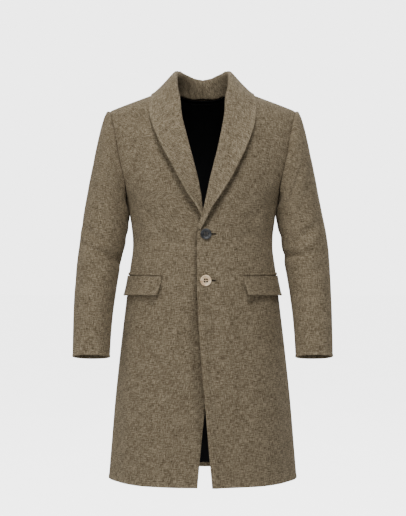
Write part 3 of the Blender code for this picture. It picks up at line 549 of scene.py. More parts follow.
def drag_offset(points, side):
    """How far the small creases push the cloth out."""
    total = np.zeros(points.shape[:-1])
    for drag in DRAGS[side]:
        across, up = points[..., 0] - drag.across, points[..., 2] - drag.height
        slant = math.radians(drag.slant)
        along = across * math.cos(slant) + up * math.sin(slant)
        aside = up * math.cos(slant) - across * math.sin(slant)
        total += drag.depth * bump_at(along, drag.length / 2) * bump_at(aside, drag.width)
    return total


def neck_level(across):
    climb = np.minimum(np.abs(across) / NECK_HALF_WIDTH, 1) ** NECK_CURVE
    return BACK_NECK_LEVEL + (TOP_LEVEL - BACK_NECK_LEVEL) * climb


def bent_level(level, across):
    share = (level - NECK_BEND_LEVEL) / (TOP_LEVEL - NECK_BEND_LEVEL)
    bent = NECK_BEND_LEVEL + share * (neck_level(across) - NECK_BEND_LEVEL)
    return np.where(level <= NECK_BEND_LEVEL, level, bent)


def on_form(angle, level, side):
    points = form(angle, level)
    return form(angle, bent_level(level, points[..., 0])) if side == BACK else points


def on_body(angle, level, side, sign=1):
    """On the coat's body with its folds; sign -1 takes the creases of the right half."""
    points = on_form(angle, level, side)
    creases = drag_offset(mirrored(points, sign), side)
    return points + form_normal(points) * (fold_offset(angle, points[..., 2]) + creases)[..., None]


def spread_angles(place, keys, starts, ends, count, low, high, trim=0.0):
    """For each key, the angles between a start and an end that are evenly spaced on its line."""
    rows = []
    for key, start, end in zip(keys, starts, ends):
        dense = np.linspace(start, end, LINE_STEPS)
        run = running(place(dense, key))
        at = trim + spots(run[-1] - 2 * trim, count, low, high)
        rows.append(np.interp(at, run, dense))
    return np.array(rows)


def body_levels(lowest=0.0, highest=TOP_LEVEL, low_rows=112, dome_rows=46, border=TURNED):
    """Levels from the hem to the shoulder, closer together at both ends."""
    low = lowest + EDGE_SPOTS * border.radius
    lower = np.linspace(low[-1], CHEST_LINE, low_rows)[1:]
    share = np.cos(np.linspace(0, math.pi / 2, dome_rows)) ** (2 / DOME_POWER)
    last = EDGE_SPOTS[::-1] * SEWN.radius / GIRTHS[-1].back
    share = np.concatenate([share[share > last[0] * 1.3][1:], last])
    upper = CHEST_LINE + (highest - CHEST_LINE) * dome_share(share)
    return np.concatenate([low, lower, upper])


# Cloth walls

def grid_normals(grid, outward):
    normal = np.cross(np.gradient(grid, axis=1), np.gradient(grid, axis=0))
    return unit(normal) * outward


def border_distances(grid):
    """Distances from the first row, the last row, the first column and the last column."""
    up, along = running(grid, 0), running(grid, 1)
    return up, up[-1:] - up, along, along[:, -1:] - along


def round_share(distance, radius):
    return np.sqrt(1 - (1 - np.clip(distance / radius, 0, 1)) ** 2)


def cloth_wall(name, grid, thickness, borders, finishes, outward=1, relief=None, lined=None):
    """A closed wall of cloth round a grid of middle points.

    Borders are those of the first row, the last row, the first column and the last column.
    lined is a function of the four distances, and true where the inner face is lining.
    """
    far = border_distances(grid)
    normal = grid_normals(grid, outward)
    share = np.ones(grid.shape[:2])
    half = np.full(grid.shape[:2], thickness / 2)
    wear_and_painted_light = np.zeros(grid.shape[:2])
    middle = grid.copy()
    for distance, border in zip(far, borders):
        share = np.minimum(share, round_share(distance, border.radius))
        half = half + border.swell * fade((0, border.reach), distance)
        middle -= normal * (border.valley * bump_at(distance, VALLEY_WIDTH))[..., None]
        # Turned edges get lighter and sewn seams darker: partly wear, partly painted highlight on
        # the turned edges and painted shade in the seams
        side = 1.0 if border is TURNED else -1.0 if border is SEWN else 0.0
        wear_and_painted_light += side * bump_at(distance, 3 * border.radius)
    lift = (half * share)[..., None] * normal
    outer, inner = middle + lift, middle - lift
    if relief is not None:
        outer = outer + normal * (relief * share)[..., None]
    return wall_object(name, outer, inner, far, np.clip(wear_and_painted_light, -1, 1), finishes, outward, lined)


def new_object(name, data):
    made = bpy.data.objects.new(name, data)
    bpy.context.scene.collection.objects.link(made)
    return made


def wall_object(name, outer, inner, far, wear_and_painted_light, finishes, outward, lined):
    rows, columns = outer.shape[:2]
    number = np.arange(rows * columns).reshape(rows, columns)
    inner_number = number.copy()
    inside = (slice(1, -1), slice(1, -1))
    inner_number[inside] = rows * columns + np.arange((rows - 2) * (columns - 2)).reshape(
        rows - 2, columns - 2)
    points = np.concatenate([outer.reshape(-1, 3), inner[inside].reshape(-1, 3)])
    wear_and_painted_light_values = np.concatenate([wear_and_painted_light.ravel(), wear_and_painted_light[inside].ravel()])
    along = far[2] - far[2].mean(axis=1, keepdims=True) + outer[..., 0].mean(axis=1, keepdims=True)
    flat = np.stack([along, far[0]], -1).reshape(-1, 2)

    def quads(grid, other):
        """The outer face's quads of a grid of numbers, and the inner face's of another."""
        outer_quads, inner_quads = (
            np.stack([n[:-1, :-1], n[:-1, 1:], n[1:, 1:], n[1:, :-1]], -1).reshape(-1, 4)
            for n in (grid, other))
        return np.concatenate([outer_quads, inner_quads[:, ::-1]])[:, ::outward]

    faces, flat_corners = quads(number, inner_number), quads(number, number)
    mesh = bpy.data.meshes.new(name)
    mesh.from_pydata(points.tolist(), [], faces.tolist())
    layer = mesh.uv_layers.new(name="cloth")
    layer.data.foreach_set("uv", flat[flat_corners.ravel()].ravel())
    # Per-point mark for the colour: wear, with painted highlight on turned edges and painted shade
    # at sewn seams
    mesh.attributes.new("wear_and_painted_light", "FLOAT", "POINT").data.foreach_set("value", wear_and_painted_light_values)
    for finish in finishes:
        mesh.materials.append(finish)
    if lined is not None:
        centre = [(d[:-1, :-1] + d[1:, 1:]) / 2 for d in far]
        inner_slot = np.where(lined(*centre), 1, 0).ravel()
        mesh.polygons.foreach_set(
            "material_index", np.concatenate([np.zeros(len(inner_slot), int), inner_slot]))
    mesh.shade_smooth()
    made = new_object(name, mesh)
    made.location.z = -NECK_HEIGHT
    return made


# Body panels

def sinking_share(sinking, points):
    across = ease(sinking.across_from, sinking.across_to, points[..., 0])
    foot = ease(sinking.foot_from, sinking.foot_to, points[..., 2])
    head = fade((sinking.head_from, sinking.head_to), points[..., 2])
    return across * foot * head


def front_drop(points):
    """How far the under front lies below its own form, under and beside the top front."""
    lap = PLY_DROP * sinking_share(UNDER_FRONT, points)
    across, height = points[..., 0], points[..., 2]
    edge = EDGE_LINES["left"](height)
    in_skirt = fade(DIP_NARROWS, height)
    reach = EDGE_DIP_REACH + EDGE_DIP_WIDER * in_skirt
    dip = ease(0, 1, (across - edge + reach) / (reach + 0.001)) * fade(DIP_ENDS, height)
    depth = EDGE_DIP + EDGE_DIP_DEEPER * in_skirt
    return lap + depth * dip + CROSSING_DROP * sinking_share(LAPEL_CROSSING, points)


def lapel_dip(grid, side):
    """A soft trough in the chest just outside the lapel's outer edge."""
    rows = [row for row in STATIONS[side] if row.edge_side == FRONT]
    edge = line_of(rows, "edge_z", "edge_x")
    height = grid[..., 2]
    step = 0.002
    slope = (edge(height + step) - edge(height - step)) / (2 * step)
    beyond = (np.abs(grid[..., 0]) - edge(height)) / np.sqrt(1 + slope**2)
    share = ease(rows[0].edge_z - LAPEL_DIP_START, rows[0].edge_z + LAPEL_DIP_FULL, height)
    dip = LAPEL_DIP * bump_at(beyond - LAPEL_DIP_OFF, LAPEL_DIP_WIDTH)
    return dip * share * fade(LAPEL_DIP_ENDS, height)


def panel_grid(side, levels, starts, columns, edge, sign):
    """A body panel, from the angles where it starts to the side seam and the armhole."""
    armhole = angle_at(ARMHOLE_LINE[side](levels), levels, side)
    ends = np.where(levels <= CHEST_LINE, math.pi / 2, armhole)
    angles = spread_angles(lambda angle, level: on_form(angle, level, side), levels,
                           starts, ends, columns, edge, SEWN)
    return mirrored(on_body(angles, levels[:, None], side, sign), sign)


def front_grid(side):
    sign = SIGNS[side]
    levels = body_levels()
    starts = angle_at(EDGE_LINES[side](levels), levels, FRONT)
    grid = panel_grid(FRONT, levels, starts, FRONT_COLUMNS, TURNED, sign)
    dip = lapel_dip(grid, side)
    if sign < 0:
        return sunk(grid, front_drop(grid) + dip)
    share = FRONT_ROLL_SHARE + (1 - FRONT_ROLL_SHARE) * fade(ROLL_LOWERS, levels)
    share = share * fade(ROLL_ENDS, levels)
    roll = bump_at(running(grid, 1) - FRONT_ROLL_CREST, FRONT_ROLL_WIDTH)
    return sunk(grid, dip - FRONT_ROLL * roll * share[:, None])


def back_grid(side):
    sign = SIGNS[side]
    levels = body_levels()
    starts = np.full(len(levels), math.pi)
    if sign < 0:
        lap = 2 * math.pi + angle_at(np.full(len(levels), -VENT_LAP), levels, BACK)
        starts += (lap - math.pi) * fade(VENT_CLOSES, levels)
    grid = panel_grid(BACK, levels, starts, BACK_COLUMNS, SEWN, sign)
    return sunk(grid, PLY_DROP * sinking_share(UNDER_VENT, grid)) if sign < 0 else grid


def lining_grid():
    levels = body_levels(LINING_HEM, LINING_NECK, LINING_LOW_ROWS, LINING_DOME_ROWS, RAW)
    armhole = ARMHOLE_LINE[BACK](levels) - LINING_ARMHOLE
    reach = np.where(levels <= CHEST_LINE, math.pi / 2, angle_at(armhole, levels, BACK))
    angles = spread_angles(lambda angle, level: on_form(angle, level, BACK), levels,
                           reach, 2 * math.pi - reach, LINING_COLUMNS, RAW, RAW, LINING_SHORT)
    grid = on_body(angles, levels[:, None], BACK)
    return sunk(grid, np.full(grid.shape[:2], LINING_DEPTH))


def row_swell(grid, border):
    """A turned front edge that thins out where it becomes the roll line under the collar."""
    return border._replace(swell=border.swell * fade(SWELL_ENDS, grid[:, :1, 2]))


# The collar

def collar_lift(points):
    return COLLAR_LIFT + RIDGE_LIFT * ease(*RIDGE_LEVELS, level_at(points[..., 0], points[..., 2]))


def lapel_section(seam, edge):
    """Control points of a section that lies on the chest and turns over a soft roll."""
    normal = form_normal(seam)
    out = edge - seam
    width = np.linalg.norm(out)
    out = unit(out - normal * out.dot(normal))
    roll = min(1.0, width / 0.040)
    return [
        seam - normal * 0.0002,
        seam - out * 0.0026 + normal * 0.0012,
        seam - out * 0.0024 + normal * (0.0040 + 0.0012 * roll),
        seam + out * 0.0022 * roll + normal * (COLLAR_LIFT + 0.0020 * roll),
        seam + out * width * 0.22 + normal * (COLLAR_LIFT + 0.0034 * roll),
        seam + out * width * 0.62 + normal * COLLAR_LIFT,
        edge,
    ]


def stand_section(seam, crest, edge):
    """Control points of a section that stands up round the neck and falls to its edge."""
    rise, fall = crest - seam, edge - crest
    over = unit(fall * np.array([1, 1, 0]))
    return [
        seam,
        seam + rise * 0.45 - over * 0.003,
        crest - over * 0.010 - np.array([0, 0, 0.012]),
        crest,
        crest + over * 0.009 - np.array([0, 0, 0.004]),
        edge - fall * 0.62 - np.array([0, 0, 0.004]),
        edge,
    ]


def collar_controls(side):
    """The seven control points of each station's section."""
    controls = []
    for station in STATIONS[side]:
        level = level_at(station.edge_x, station.edge_z)
        edge = form_at(station.edge_x, level, station.edge_side)
        edge = lifted(edge, collar_lift(edge))
        if station.seam_x is None:
            across = EDGE_LINES[side](station.seam_level) - COLLAR_INSET
            seam = form_at(across, station.seam_level, FRONT)
        else:
            seam = form_at(station.seam_x, neck_level(station.seam_x) + NECK_RAISE, BACK)
        if station.roll_z is None:
            controls.append(lapel_section(seam, edge))
        else:
            crest = np.array([station.roll_x, station.roll_y, station.roll_z])
            controls.append(stand_section(seam, crest, edge))
    return np.array(controls)


def bezier(a, b, c, d, t):
    s = 1 - t
    return a * s**3 + b * 3 * s * s * t + c * 3 * s * t * t + d * t**3


def collar_grid(side):
    controls = collar_controls(side)
    centre_back = len(controls) - 1
    controls = np.concatenate([controls, controls[-2:-1] * np.array([-1, 1, 1])])
    keys = range(len(controls))
    at = np.concatenate([
        [0, 0.01, 0.03, 0.08], np.linspace(0.15, centre_back - 0.06, COLLAR_ROWS),
        centre_back - np.array([0.03, 0.01, 0.0])])
    sections = np.stack([np.stack([curve(keys, controls[:, j, axis])(at) for axis in range(3)], -1)
                         for j in range(7)])[:, :, None]
    stand = bezier(*sections[:4], np.linspace(0, 1, STAND_STEPS, endpoint=False)[:, None])
    down = np.linspace(0, 1, FALL_STEPS)
    fall = bezier(*sections[3:], down[:, None])
    height = fall[:, -1:, 2]
    on_chest = ease(*LAPEL_OPENS, height) * fade(LAPEL_CLOSES, height)
    least = collar_lift(fall) + EDGE_OPEN * down**EDGE_OPEN_POWER * on_chest
    fall[:, 1:] = lifted(fall[:, 1:], least[:, 1:])
    rows = []
    for line in np.concatenate([stand, fall], axis=1):
        run = running(line)
        wanted = spots(run[-1], COLLAR_COLUMNS, SEWN, TURNED)
        rows.append(np.stack([np.interp(wanted, run, line[:, axis]) for axis in range(3)], -1))
    grid = mirrored(np.array(rows), SIGNS[side])
    grid[-1, :, 0] = 0
    return sunk(grid, front_drop(grid)) if side == "right" else grid


# Sleeves

def armhole_point(angle):
    """On the armhole's edge, round from the shoulder point by way of the front."""
    level = CHEST_LINE + (1 + np.cos(angle)) / 2 * DOME_HEIGHT
    ahead = np.sin(angle) >= 0
    front, back = (form_at(ARMHOLE_LINE[side](level), level, side) for side in (FRONT, BACK))
    points = np.where(ahead[..., None], front, back)
    low_share = ((1 - np.cos(angle)) / 2) ** ARMHOLE_EASE_POWER
    points[..., 0] += ARMHOLE_EASE_TOP + (ARMHOLE_EASE_BOTTOM - ARMHOLE_EASE_TOP) * low_share
    return points


def ring_point(station, angle):
    ring = Ring(*[RING[name](station) for name in Ring._fields])
    outer = points_of(ring.outer_x, ring.centre_y, ring.outer_z)
    inner = points_of(ring.inner_x, ring.centre_y, ring.inner_z)
    tilt = np.radians(ring.tilt)
    forward = points_of(0 * tilt, -np.cos(tilt), np.sin(tilt))
    power = 2 / SLEEVE_FULLNESS
    along = signed_power(np.cos(angle), power)[..., None]
    aside = signed_power(np.sin(angle), power)[..., None]
    depth = np.asarray(ring.half_depth)[..., None]
    return (outer + inner) / 2 + (outer - inner) / 2 * along + forward * depth * aside


def crease_offset(creases, station, angle):
    total = np.zeros(np.broadcast(station, angle).shape)
    around = np.degrees(angle) % 360
    for crease in creases:
        turn = (around - crease.around + 180) % 360 - 180
        lean = station - crease.station - crease.slant * turn / crease.reach
        total += crease.depth * bump_at(turn, crease.reach) * bump_at(lean, crease.width)
    return total


def sleeve_point(station, angle, creases):
    station, angle = np.broadcast_arrays(np.asarray(station, float), np.asarray(angle, float))
    points = ring_point(station, angle)
    draw = fade((0, HEAD_STATIONS), station)
    points = points + (armhole_point(angle) - ring_point(0 * station, angle)) * draw[..., None]
    step = 0.01
    ahead = ring_point(np.minimum(station + step, CUFF_STATION), angle)
    behind = ring_point(np.maximum(station - step, 0), angle)
    turned = ring_point(station, angle + step) - ring_point(station, angle - step)
    normal = unit(np.cross(turned, ahead - behind))
    return points + normal * crease_offset(creases, station, angle)[..., None]


def sleeve_grid(side, first, last, count):
    creases = SLEEVE_CREASES + FINE_CREASES[side]
    stations = np.concatenate([
        CUFF_STATION - np.array([0, 0.005, 0.016, 0.034, 0.058, 0.100]),
        np.linspace(CUFF_STATION - 0.18, 1.2, SLEEVE_ROWS),
        [1.0, 0.8, 0.6, 0.42, 0.26, 0.14, 0.06, 0.02, 0.0]])
    starts = np.full(len(stations), math.radians(first))
    ends = np.full(len(stations), math.radians(last))
    angles = spread_angles(lambda angle, station: sleeve_point(station, angle, ()), stations,
                           starts, ends, count, SEWN, SEWN)
    return mirrored(sleeve_point(stations[:, None], angles, creases), SIGNS[side]), angles


def sleeve_relief(grid, angles):
    """The raised head beside the armhole seam, and the line of the turned-up cuff."""
    up = running(grid, 0)
    down = up[-1:] - up
    head = ROPE * bump_at(down - ROPE_DOWN, ROPE_WIDTH) * ease(0.1, 0.7, np.cos(angles))
    return head - CUFF_GROOVE * bump_at(up - CUFF_GROOVE_UP, CUFF_GROOVE_WIDTH)


# Pockets

def pocket_angle(distance, height):
    start = angle_at(np.array(POCKET_FRONT_X), height, FRONT)
    dense = start + POCKET_ANGLE * np.linspace(0, 1, POCKET_STEPS)
    return np.interp(distance, running(form(dense, height)), dense)


def pocket_grid(distances, heights, off, sign):
    angles = np.vectorize(pocket_angle)(distances, heights)
    points = on_body(angles, heights, FRONT, sign)
    return mirrored(points + form_normal(points) * off[..., None], sign)


def flap_grid(sign):
    down = spots(FLAP_DROP, FLAP_ROWS, RAW, TURNED)[:, None] / FLAP_DROP
    along = spots(FLAP_LENGTH, POCKET_COLUMNS, TURNED, TURNED)[None] / FLAP_LENGTH
    lean = FLAP_SLANT * down
    distances = lean + (FLAP_LENGTH - lean) * along
    corner = np.maximum(0, 1 - (distances - lean) / FLAP_CORNER)
    sag = FLAP_SAG * down * (distances / FLAP_LENGTH)**2
    drop = FLAP_DROP * down + sag - 0.35 * FLAP_CORNER * down**3 * corner**2
    lift = FLAP_CORNER_FLARE * bump_at(distances - lean, FLAP_CORNER_REACH) * down**1.5
    off = CLOTH / 2 + SEAT + FLAP_CLOTH / 2 + FLAP_FLARE * down**1.5 + lift + 0 * along
    return pocket_grid(distances, POCKET_TOP - drop, off, sign)


def jet_grid(sign):
    up = spots(JET_HEIGHT, JET_ROWS, SEWN, SEWN)[:, None]
    distances = spots(FLAP_LENGTH - JET_SHORT, POCKET_COLUMNS, SEWN, SEWN)[None] + 0 * up
    heights = POCKET_TOP + 2 * SEAM + up + 0 * distances
    roll = JET_ROLL * np.sin(math.pi * up / JET_HEIGHT)
    off = CLOTH / 2 + SEAT + JET_CLOTH / 2 + roll + 0 * distances
    return pocket_grid(distances, heights, off, sign)


# Buttons and buttonholes

def front_spot(across, height, off=0.0):
    """A place on the top front's outer face, and its normal, in the part's frame."""
    angle = angle_at(np.array(across), height, FRONT)
    base = form(angle, np.array(height))
    normal = form_normal(base)
    place = base + normal * (CLOTH / 2 + off + fold_offset(angle, base[..., 2]))
    return Vector(place - np.array([0, 0, NECK_HEIGHT])), Vector(normal)


def mesh_object(name, bm, finish=None):
    mesh = bpy.data.meshes.new(name)
    bm.to_mesh(mesh)
    bm.free()
    if finish:
        mesh.materials.append(finish)
        mesh.shade_smooth()
    return new_object(name, mesh)


def add_button(name, button, finish, hole_shade_finish):
    bm = bmesh.new()
    verts = [bm.verts.new((button.radius * out, 0, BUTTON_THICKNESS / 2 * up))
             for out, up in reversed(BUTTON_PROFILE)]
    for a, b in zip(verts, verts[1:]):
        bm.edges.new((a, b))
    bmesh.ops.spin(bm, geom=bm.edges[:] + bm.verts[:], axis=(0, 0, 1), cent=(0, 0, 0),
                   angle=2 * math.pi, steps=BUTTON_STEPS, use_merge=True)
    bmesh.ops.remove_doubles(bm, verts=bm.verts, dist=1e-6)
    bmesh.ops.recalc_face_normals(bm, faces=bm.faces)
    made = mesh_object(name, bm, finish)
    cut_holes(made, hole_shade_finish)
    seat, normal = front_spot(button.across, button.height, SEAT + BUTTON_THICKNESS / 2)
    made.location = seat
    made.rotation_euler = normal.to_track_quat("Z", "Y").to_euler()
    return made


def hole_places():
    quarter = [math.pi / 4 + i * math.pi / 2 for i in range(4)]
    return [(BUTTON_HOLE_OFFSET * math.cos(a), BUTTON_HOLE_OFFSET * math.sin(a)) for a in quarter]


def cut_holes(button, hole_shade_finish):
    """Four round holes through a button, cut by one mesh of four cylinders, with their walls in a
    dark material as painted shade.
    """
    bm = bmesh.new()
    for x, y in hole_places():
        made = bmesh.ops.create_cone(
            bm, cap_ends=True, segments=HOLE_STEPS, radius1=BUTTON_HOLE_RADIUS,
            radius2=BUTTON_HOLE_RADIUS, depth=BUTTON_THICKNESS * 3)
        bmesh.ops.translate(bm, verts=made["verts"], vec=(x, y, 0))
    cutter = mesh_object("holes", bm)
    cut = button.modifiers.new("holes", "BOOLEAN")
    cut.object = cutter
    cut.operation = "DIFFERENCE"
    cut.solver = "EXACT"
    graph = bpy.context.evaluated_depsgraph_get()
    cut_mesh = bpy.data.meshes.new_from_object(button.evaluated_get(graph))
    button.modifiers.clear()
    button.data = cut_mesh
    # The holes' walls get a dark material: painted shade in the holes
    cut_mesh.materials.append(hole_shade_finish)
    for face in cut_mesh.polygons:
        if any(math.hypot(face.center.x - x, face.center.y - y) < BUTTON_HOLE_RADIUS
               for x, y in hole_places()):
            face.material_index = 1
    bpy.data.objects.remove(cutter)


def tube(bm, path, radii, sides=8):
    """A closed-end tube along a path, added to a bmesh."""
    rings = []
    for i, (point, radius) in enumerate(zip(path, radii)):
        ahead = path[min(i + 1, len(path) - 1)] - path[max(i - 1, 0)]
        turn = ahead.to_track_quat("Z", "Y")
        rings.append([bm.verts.new(point + turn @ Vector((
            radius * math.cos(2 * math.pi * k / sides),
            radius * math.sin(2 * math.pi * k / sides), 0))) for k in range(sides)])
    for low, high in zip(rings, rings[1:]):
        for k in range(sides):
            bm.faces.new((low[k], low[(k + 1) % sides], high[(k + 1) % sides], high[k]))
    bm.faces.new(rings[0][::-1])
    bm.faces.new(rings[-1])


def add_button_thread(name, place, finish, crosses):
    """Thread through the four holes, and where it crosses the face two bars of three strands."""
    bm = bmesh.new()
    low, high = -BUTTON_THICKNESS * 0.45, -BUTTON_THICKNESS * (0.16 if crosses else 0.34)
    for x, y in hole_places():
        tube(bm, [Vector((x, y, z)) for z in (low, high, high + THREAD_RADIUS)],
             [BUTTON_HOLE_RADIUS * share for share in (0.92, 0.92, 0.45)], 16)
    half = BUTTON_HOLE_OFFSET * math.sin(math.pi / 4)
    top = BUTTON_THICKNESS * 0.10 + THREAD_RADIUS
    for x in (-half, half) if crosses else ():
        for strand in (-1, 0, 1):
            path = [Vector((x + strand * THREAD_RADIUS, y, z)) for y, z in (
                (-half, high), (-half * 0.9, top * 0.7), (-half * 0.6, top), (0, top * 1.1),
                (half * 0.6, top), (half * 0.9, top * 0.7), (half, high))]
            tube(bm, path, [THREAD_RADIUS * 0.55] * len(path))
    made = mesh_object(name, bm, finish)
    made.matrix_world = place.matrix_basis
    return made


def add_buttonhole(hole, finish):
    """A closed slit in the top front, oversewn all round with thread."""
    bm = bmesh.new()
    half = BUTTONHOLE_HALF_WIDTH
    straight = hole.length - 2 * half
    round_length = math.pi * half
    loop = 2 * straight + 2 * round_length
    count = int(loop / STITCH_PITCH)
    path, radii = [], []
    for i in range(4 * count + 1):
        run = loop * i / (4 * count)
        x, z = race_track(run, straight, half)
        point, _ = front_spot(hole.across + half + x, hole.height + z, THREAD_RADIUS * 0.3)
        path.append(point)
        radii.append(THREAD_RADIUS * (1.0 + 0.22 * math.cos(2 * math.pi * i / 4)))
    tube(bm, path, radii, 10)
    return mesh_object(hole.name, bm, finish)


def race_track(run, straight, half):
    """A place on a loop of two straights and two half circles, from the lower straight's end."""
    if run < straight:
        return run, -half
    run -= straight
    if run < math.pi * half:
        turn = run / half
        return straight + half * math.sin(turn), -half * math.cos(turn)
    run -= math.pi * half
    if run < straight:
        return straight - run, half
    turn = (run - straight) / half
    return -half * math.sin(turn), half * math.cos(turn)


def add_slit(hole, finish):
    """A dark sheet between a buttonhole's two rows of thread: painted shade that stands for the
    shadow in the cut slit.
    """
    bm = bmesh.new()
    inner = BUTTONHOLE_HALF_WIDTH - THREAD_RADIUS * 0.4
    straight = hole.length - 2 * BUTTONHOLE_HALF_WIDTH
    steps = 12
    rows = []
    for i in range(steps + 1):
        x = hole.across + BUTTONHOLE_HALF_WIDTH + straight * i / steps
        rows.append([bm.verts.new(front_spot(x, hole.height + z, 0.00012)[0])
                     for z in (-inner, 0, inner)])
    for low, high in zip(rows, rows[1:]):
        for k in range(2):
            bm.faces.new((low[k], high[k], high[k + 1], low[k + 1]))
    return mesh_object(f"{hole.name}_slit", bm, finish)


# Materials

def add_node(tree, kind, inputs=None, **settings):
    made = tree.nodes.new(kind)
    for name, value in settings.items():
        setattr(made, name, value)
    for name, value in (inputs or {}).items():
        if isinstance(value, bpy.types.NodeSocket):
            tree.links.new(value, made.inputs[name])
        else:
            made.inputs[name].default_value = value
    return made


def maths(tree, operation, first, second=0.0):
    return add_node(tree, "ShaderNodeMath", {0: first, 1: second}, operation=operation).outputs[0]


def noise(tree, coordinates, size, detail=2.0, roughness=0.5):
    """Noise whose features are as large as size, which is (u, v) or (x, y, z) in metres."""
    scale = [1 / s for s in size] + [1.0] * (3 - len(size))
    mapped = add_node(tree, "ShaderNodeMapping", {"Vector": coordinates, "Scale": scale})
    return add_node(tree, "ShaderNodeTexNoise",
                    {"Vector": mapped.outputs[0], "Scale": 1.0, "Detail": detail,
                     "Roughness": roughness}, noise_dimensions="3D").outputs[0]


def weighted(tree, parts):
    """0.5 plus the sum of each part's distance from 0.5, times its weight."""
    total = 0.5
    for value, weight in parts:
        shifted = maths(tree, "MULTIPLY", maths(tree, "SUBTRACT", value, 0.5), weight)
        total = maths(tree, "ADD", shifted, total)
    return total


def ramp(tree, value, stops):
    made = add_node(tree, "ShaderNodeValToRGB", {0: value})
    elements = made.color_ramp.elements
    while len(elements) < len(stops):
        elements.new(0.5)
    for element, (place, colour) in zip(elements, stops):
        element.position = place
        element.color = (*colour, 1)
    return made.outputs[0]


def new_material(name, roughness, is_cloth=False, **values):
    """A material with its nodes, its shader, and the cloth's or else the object's coordinates."""
    made = bpy.data.materials.new(name)
    made.use_nodes = True
    shader = made.node_tree.nodes["Principled BSDF"]
    shader.inputs["Roughness"].default_value = roughness
    for key, value in values.items():
        shader.inputs[key.replace("_", " ")].default_value = value
    if is_cloth:
        place = add_node(made.node_tree, "ShaderNodeUVMap", uv_map="cloth").outputs[0]
    else:
        place = add_node(made.node_tree, "ShaderNodeTexCoord").outputs["Object"]
    return made, made.node_tree, shader, place


YARN = 0.0015             # pitch of the weave's yarns


def set_surface(tree, shader, colour, height, strength, distance):
    """Gives a shader its colour, and a bump of a strength over a distance in metres."""
    bump = add_node(tree, "ShaderNodeBump",
                    {"Height": height, "Strength": strength, "Distance": distance})
    tree.links.new(colour, shader.inputs["Base Color"])
    tree.links.new(bump.outputs[0], shader.inputs["Normal"])


def tweed(name, dark, middle, light):
    """A hopsack tweed of slubbed yarns, flecked light and dark, with a soft nap."""
    made, tree, shader, cloth = new_material(
        name, 0.92, True, Sheen_Weight=0.20, Sheen_Roughness=0.45,
        Sheen_Tint=(0.86, 0.72, 0.50, 1), Specular_IOR_Level=0.22)
    warp = noise(tree, cloth, (0.0015, 0.012), 2.0, 0.6)
    weft = noise(tree, cloth, (0.012, 0.0015), 2.0, 0.6)
    slub = noise(tree, cloth, (0.030, 0.0026))
    ridge = noise(tree, cloth, (0.0026, 0.026))
    speck = noise(tree, cloth, (0.0014, 0.0013), 1.0)
    mottle = noise(tree, cloth, (0.040, 0.026), 3.0)
    wear_and_painted_light = add_node(tree, "ShaderNodeAttribute", attribute_name="wear_and_painted_light").outputs["Fac"]
    split = add_node(tree, "ShaderNodeSeparateXYZ", {0: cloth})
    turn = 2 * math.pi / (2 * YARN)
    across = maths(tree, "SINE", maths(tree, "MULTIPLY", split.outputs[0], turn))
    along = maths(tree, "SINE", maths(tree, "MULTIPLY", split.outputs[1], turn))
    weave = maths(tree, "MULTIPLY", across, along)
    shade = weighted(tree, [(warp, 1.14), (weft, 1.24), (slub, 0.36), (ridge, 0.34),
                            (speck, 0.95), (mottle, 0.24)])
    shade = maths(tree, "ADD", shade, maths(tree, "MULTIPLY", weave, 0.04))
    # Lighter along turned edges and darker along sewn seams: wear, plus painted highlight and
    # painted shade
    shade = maths(tree, "ADD", shade, maths(tree, "MULTIPLY", wear_and_painted_light, 0.05))
    colour = ramp(tree, shade, [(0.16, dark), (0.50, middle), (0.86, light)])
    height = maths(tree, "ADD", maths(tree, "MULTIPLY", weave, 0.30), shade)
    set_surface(tree, shader, colour, height, 0.6, 0.0008)
    return made


def satin_lining():
    made, tree, shader, cloth = new_material("lining_satin", 0.50, True, Specular_IOR_Level=0.10)
    threads = noise(tree, cloth, (0.0006, 0.012))
    soft = noise(tree, cloth, (0.045, 0.120))
    shade = weighted(tree, [(threads, 0.5), (soft, 0.7)])
    # Black satin, darkened further than the cloth itself as painted shade for the shadow inside the
    # coat
    colour = ramp(tree, shade, [(0.2, (0.0006, 0.0006, 0.0008)), (0.8, (0.003, 0.003, 0.0035))])
    set_surface(tree, shader, colour, shade, 0.5, 0.002)
    return made


def horn(name, dark, middle, light, roughness):
    """A polished button with cloudy streaks."""
    made, tree, shader, place = new_material(name, roughness, Coat_Weight=0.25, Coat_Roughness=0.25)
    streak = noise(tree, place, (0.010, 0.004, 0.010), 4.0, 0.6)
    cloud = noise(tree, place, (0.014, 0.012, 0.010))
    shade = weighted(tree, [(streak, 1.0), (cloud, 0.9)])
    colour = ramp(tree, shade, [(0.25, dark), (0.5, middle), (0.75, light)])
    scratch = noise(tree, place, (0.0004, 0.0030, 0.0030), 2.0, 0.6)
    set_surface(tree, shader, colour, scratch, 0.25, 0.0002)
    return made


def thread(name, dark, light):
    made, tree, shader, place = new_material(name, 0.80, Specular_IOR_Level=0.20)
    twist = noise(tree, place, (0.0004, 0.0004, 0.0004), 2.0, 0.6)
    set_surface(tree, shader, ramp(tree, twist, [(0.3, dark), (0.7, light)]), twist, 0.6, 0.0003)
    return made


def glow(tree, lit, shown):
    """The strength of a plain light surface: lit for the light it gives, shown to the eye."""
    seen = add_node(tree, "ShaderNodeLightPath").outputs["Is Camera Ray"]
    return add_node(tree, "ShaderNodeMix", {0: seen, 2: lit, 3: shown}).outputs[0]


def pale_floor_material():
    made, tree, shader, place = new_material("studio_floor", 0.9)
    grain = noise(tree, place, (0.4, 0.4, 0.4))
    colour = ramp(tree, grain, [(0.0, (0.90, 0.90, 0.90)), (1.0, (0.94, 0.94, 0.94))])
    tree.links.new(colour, shader.inputs["Base Color"])
    tree.links.new(colour, shader.inputs["Emission Color"])
    tree.links.new(glow(tree, 0.0, BACKDROP_SHOWN), shader.inputs["Emission Strength"])
    return made


# The coat

# The flat cut of what shows of each sheet, in metres and square metres
Cut = namedtuple("Cut", "width length area")


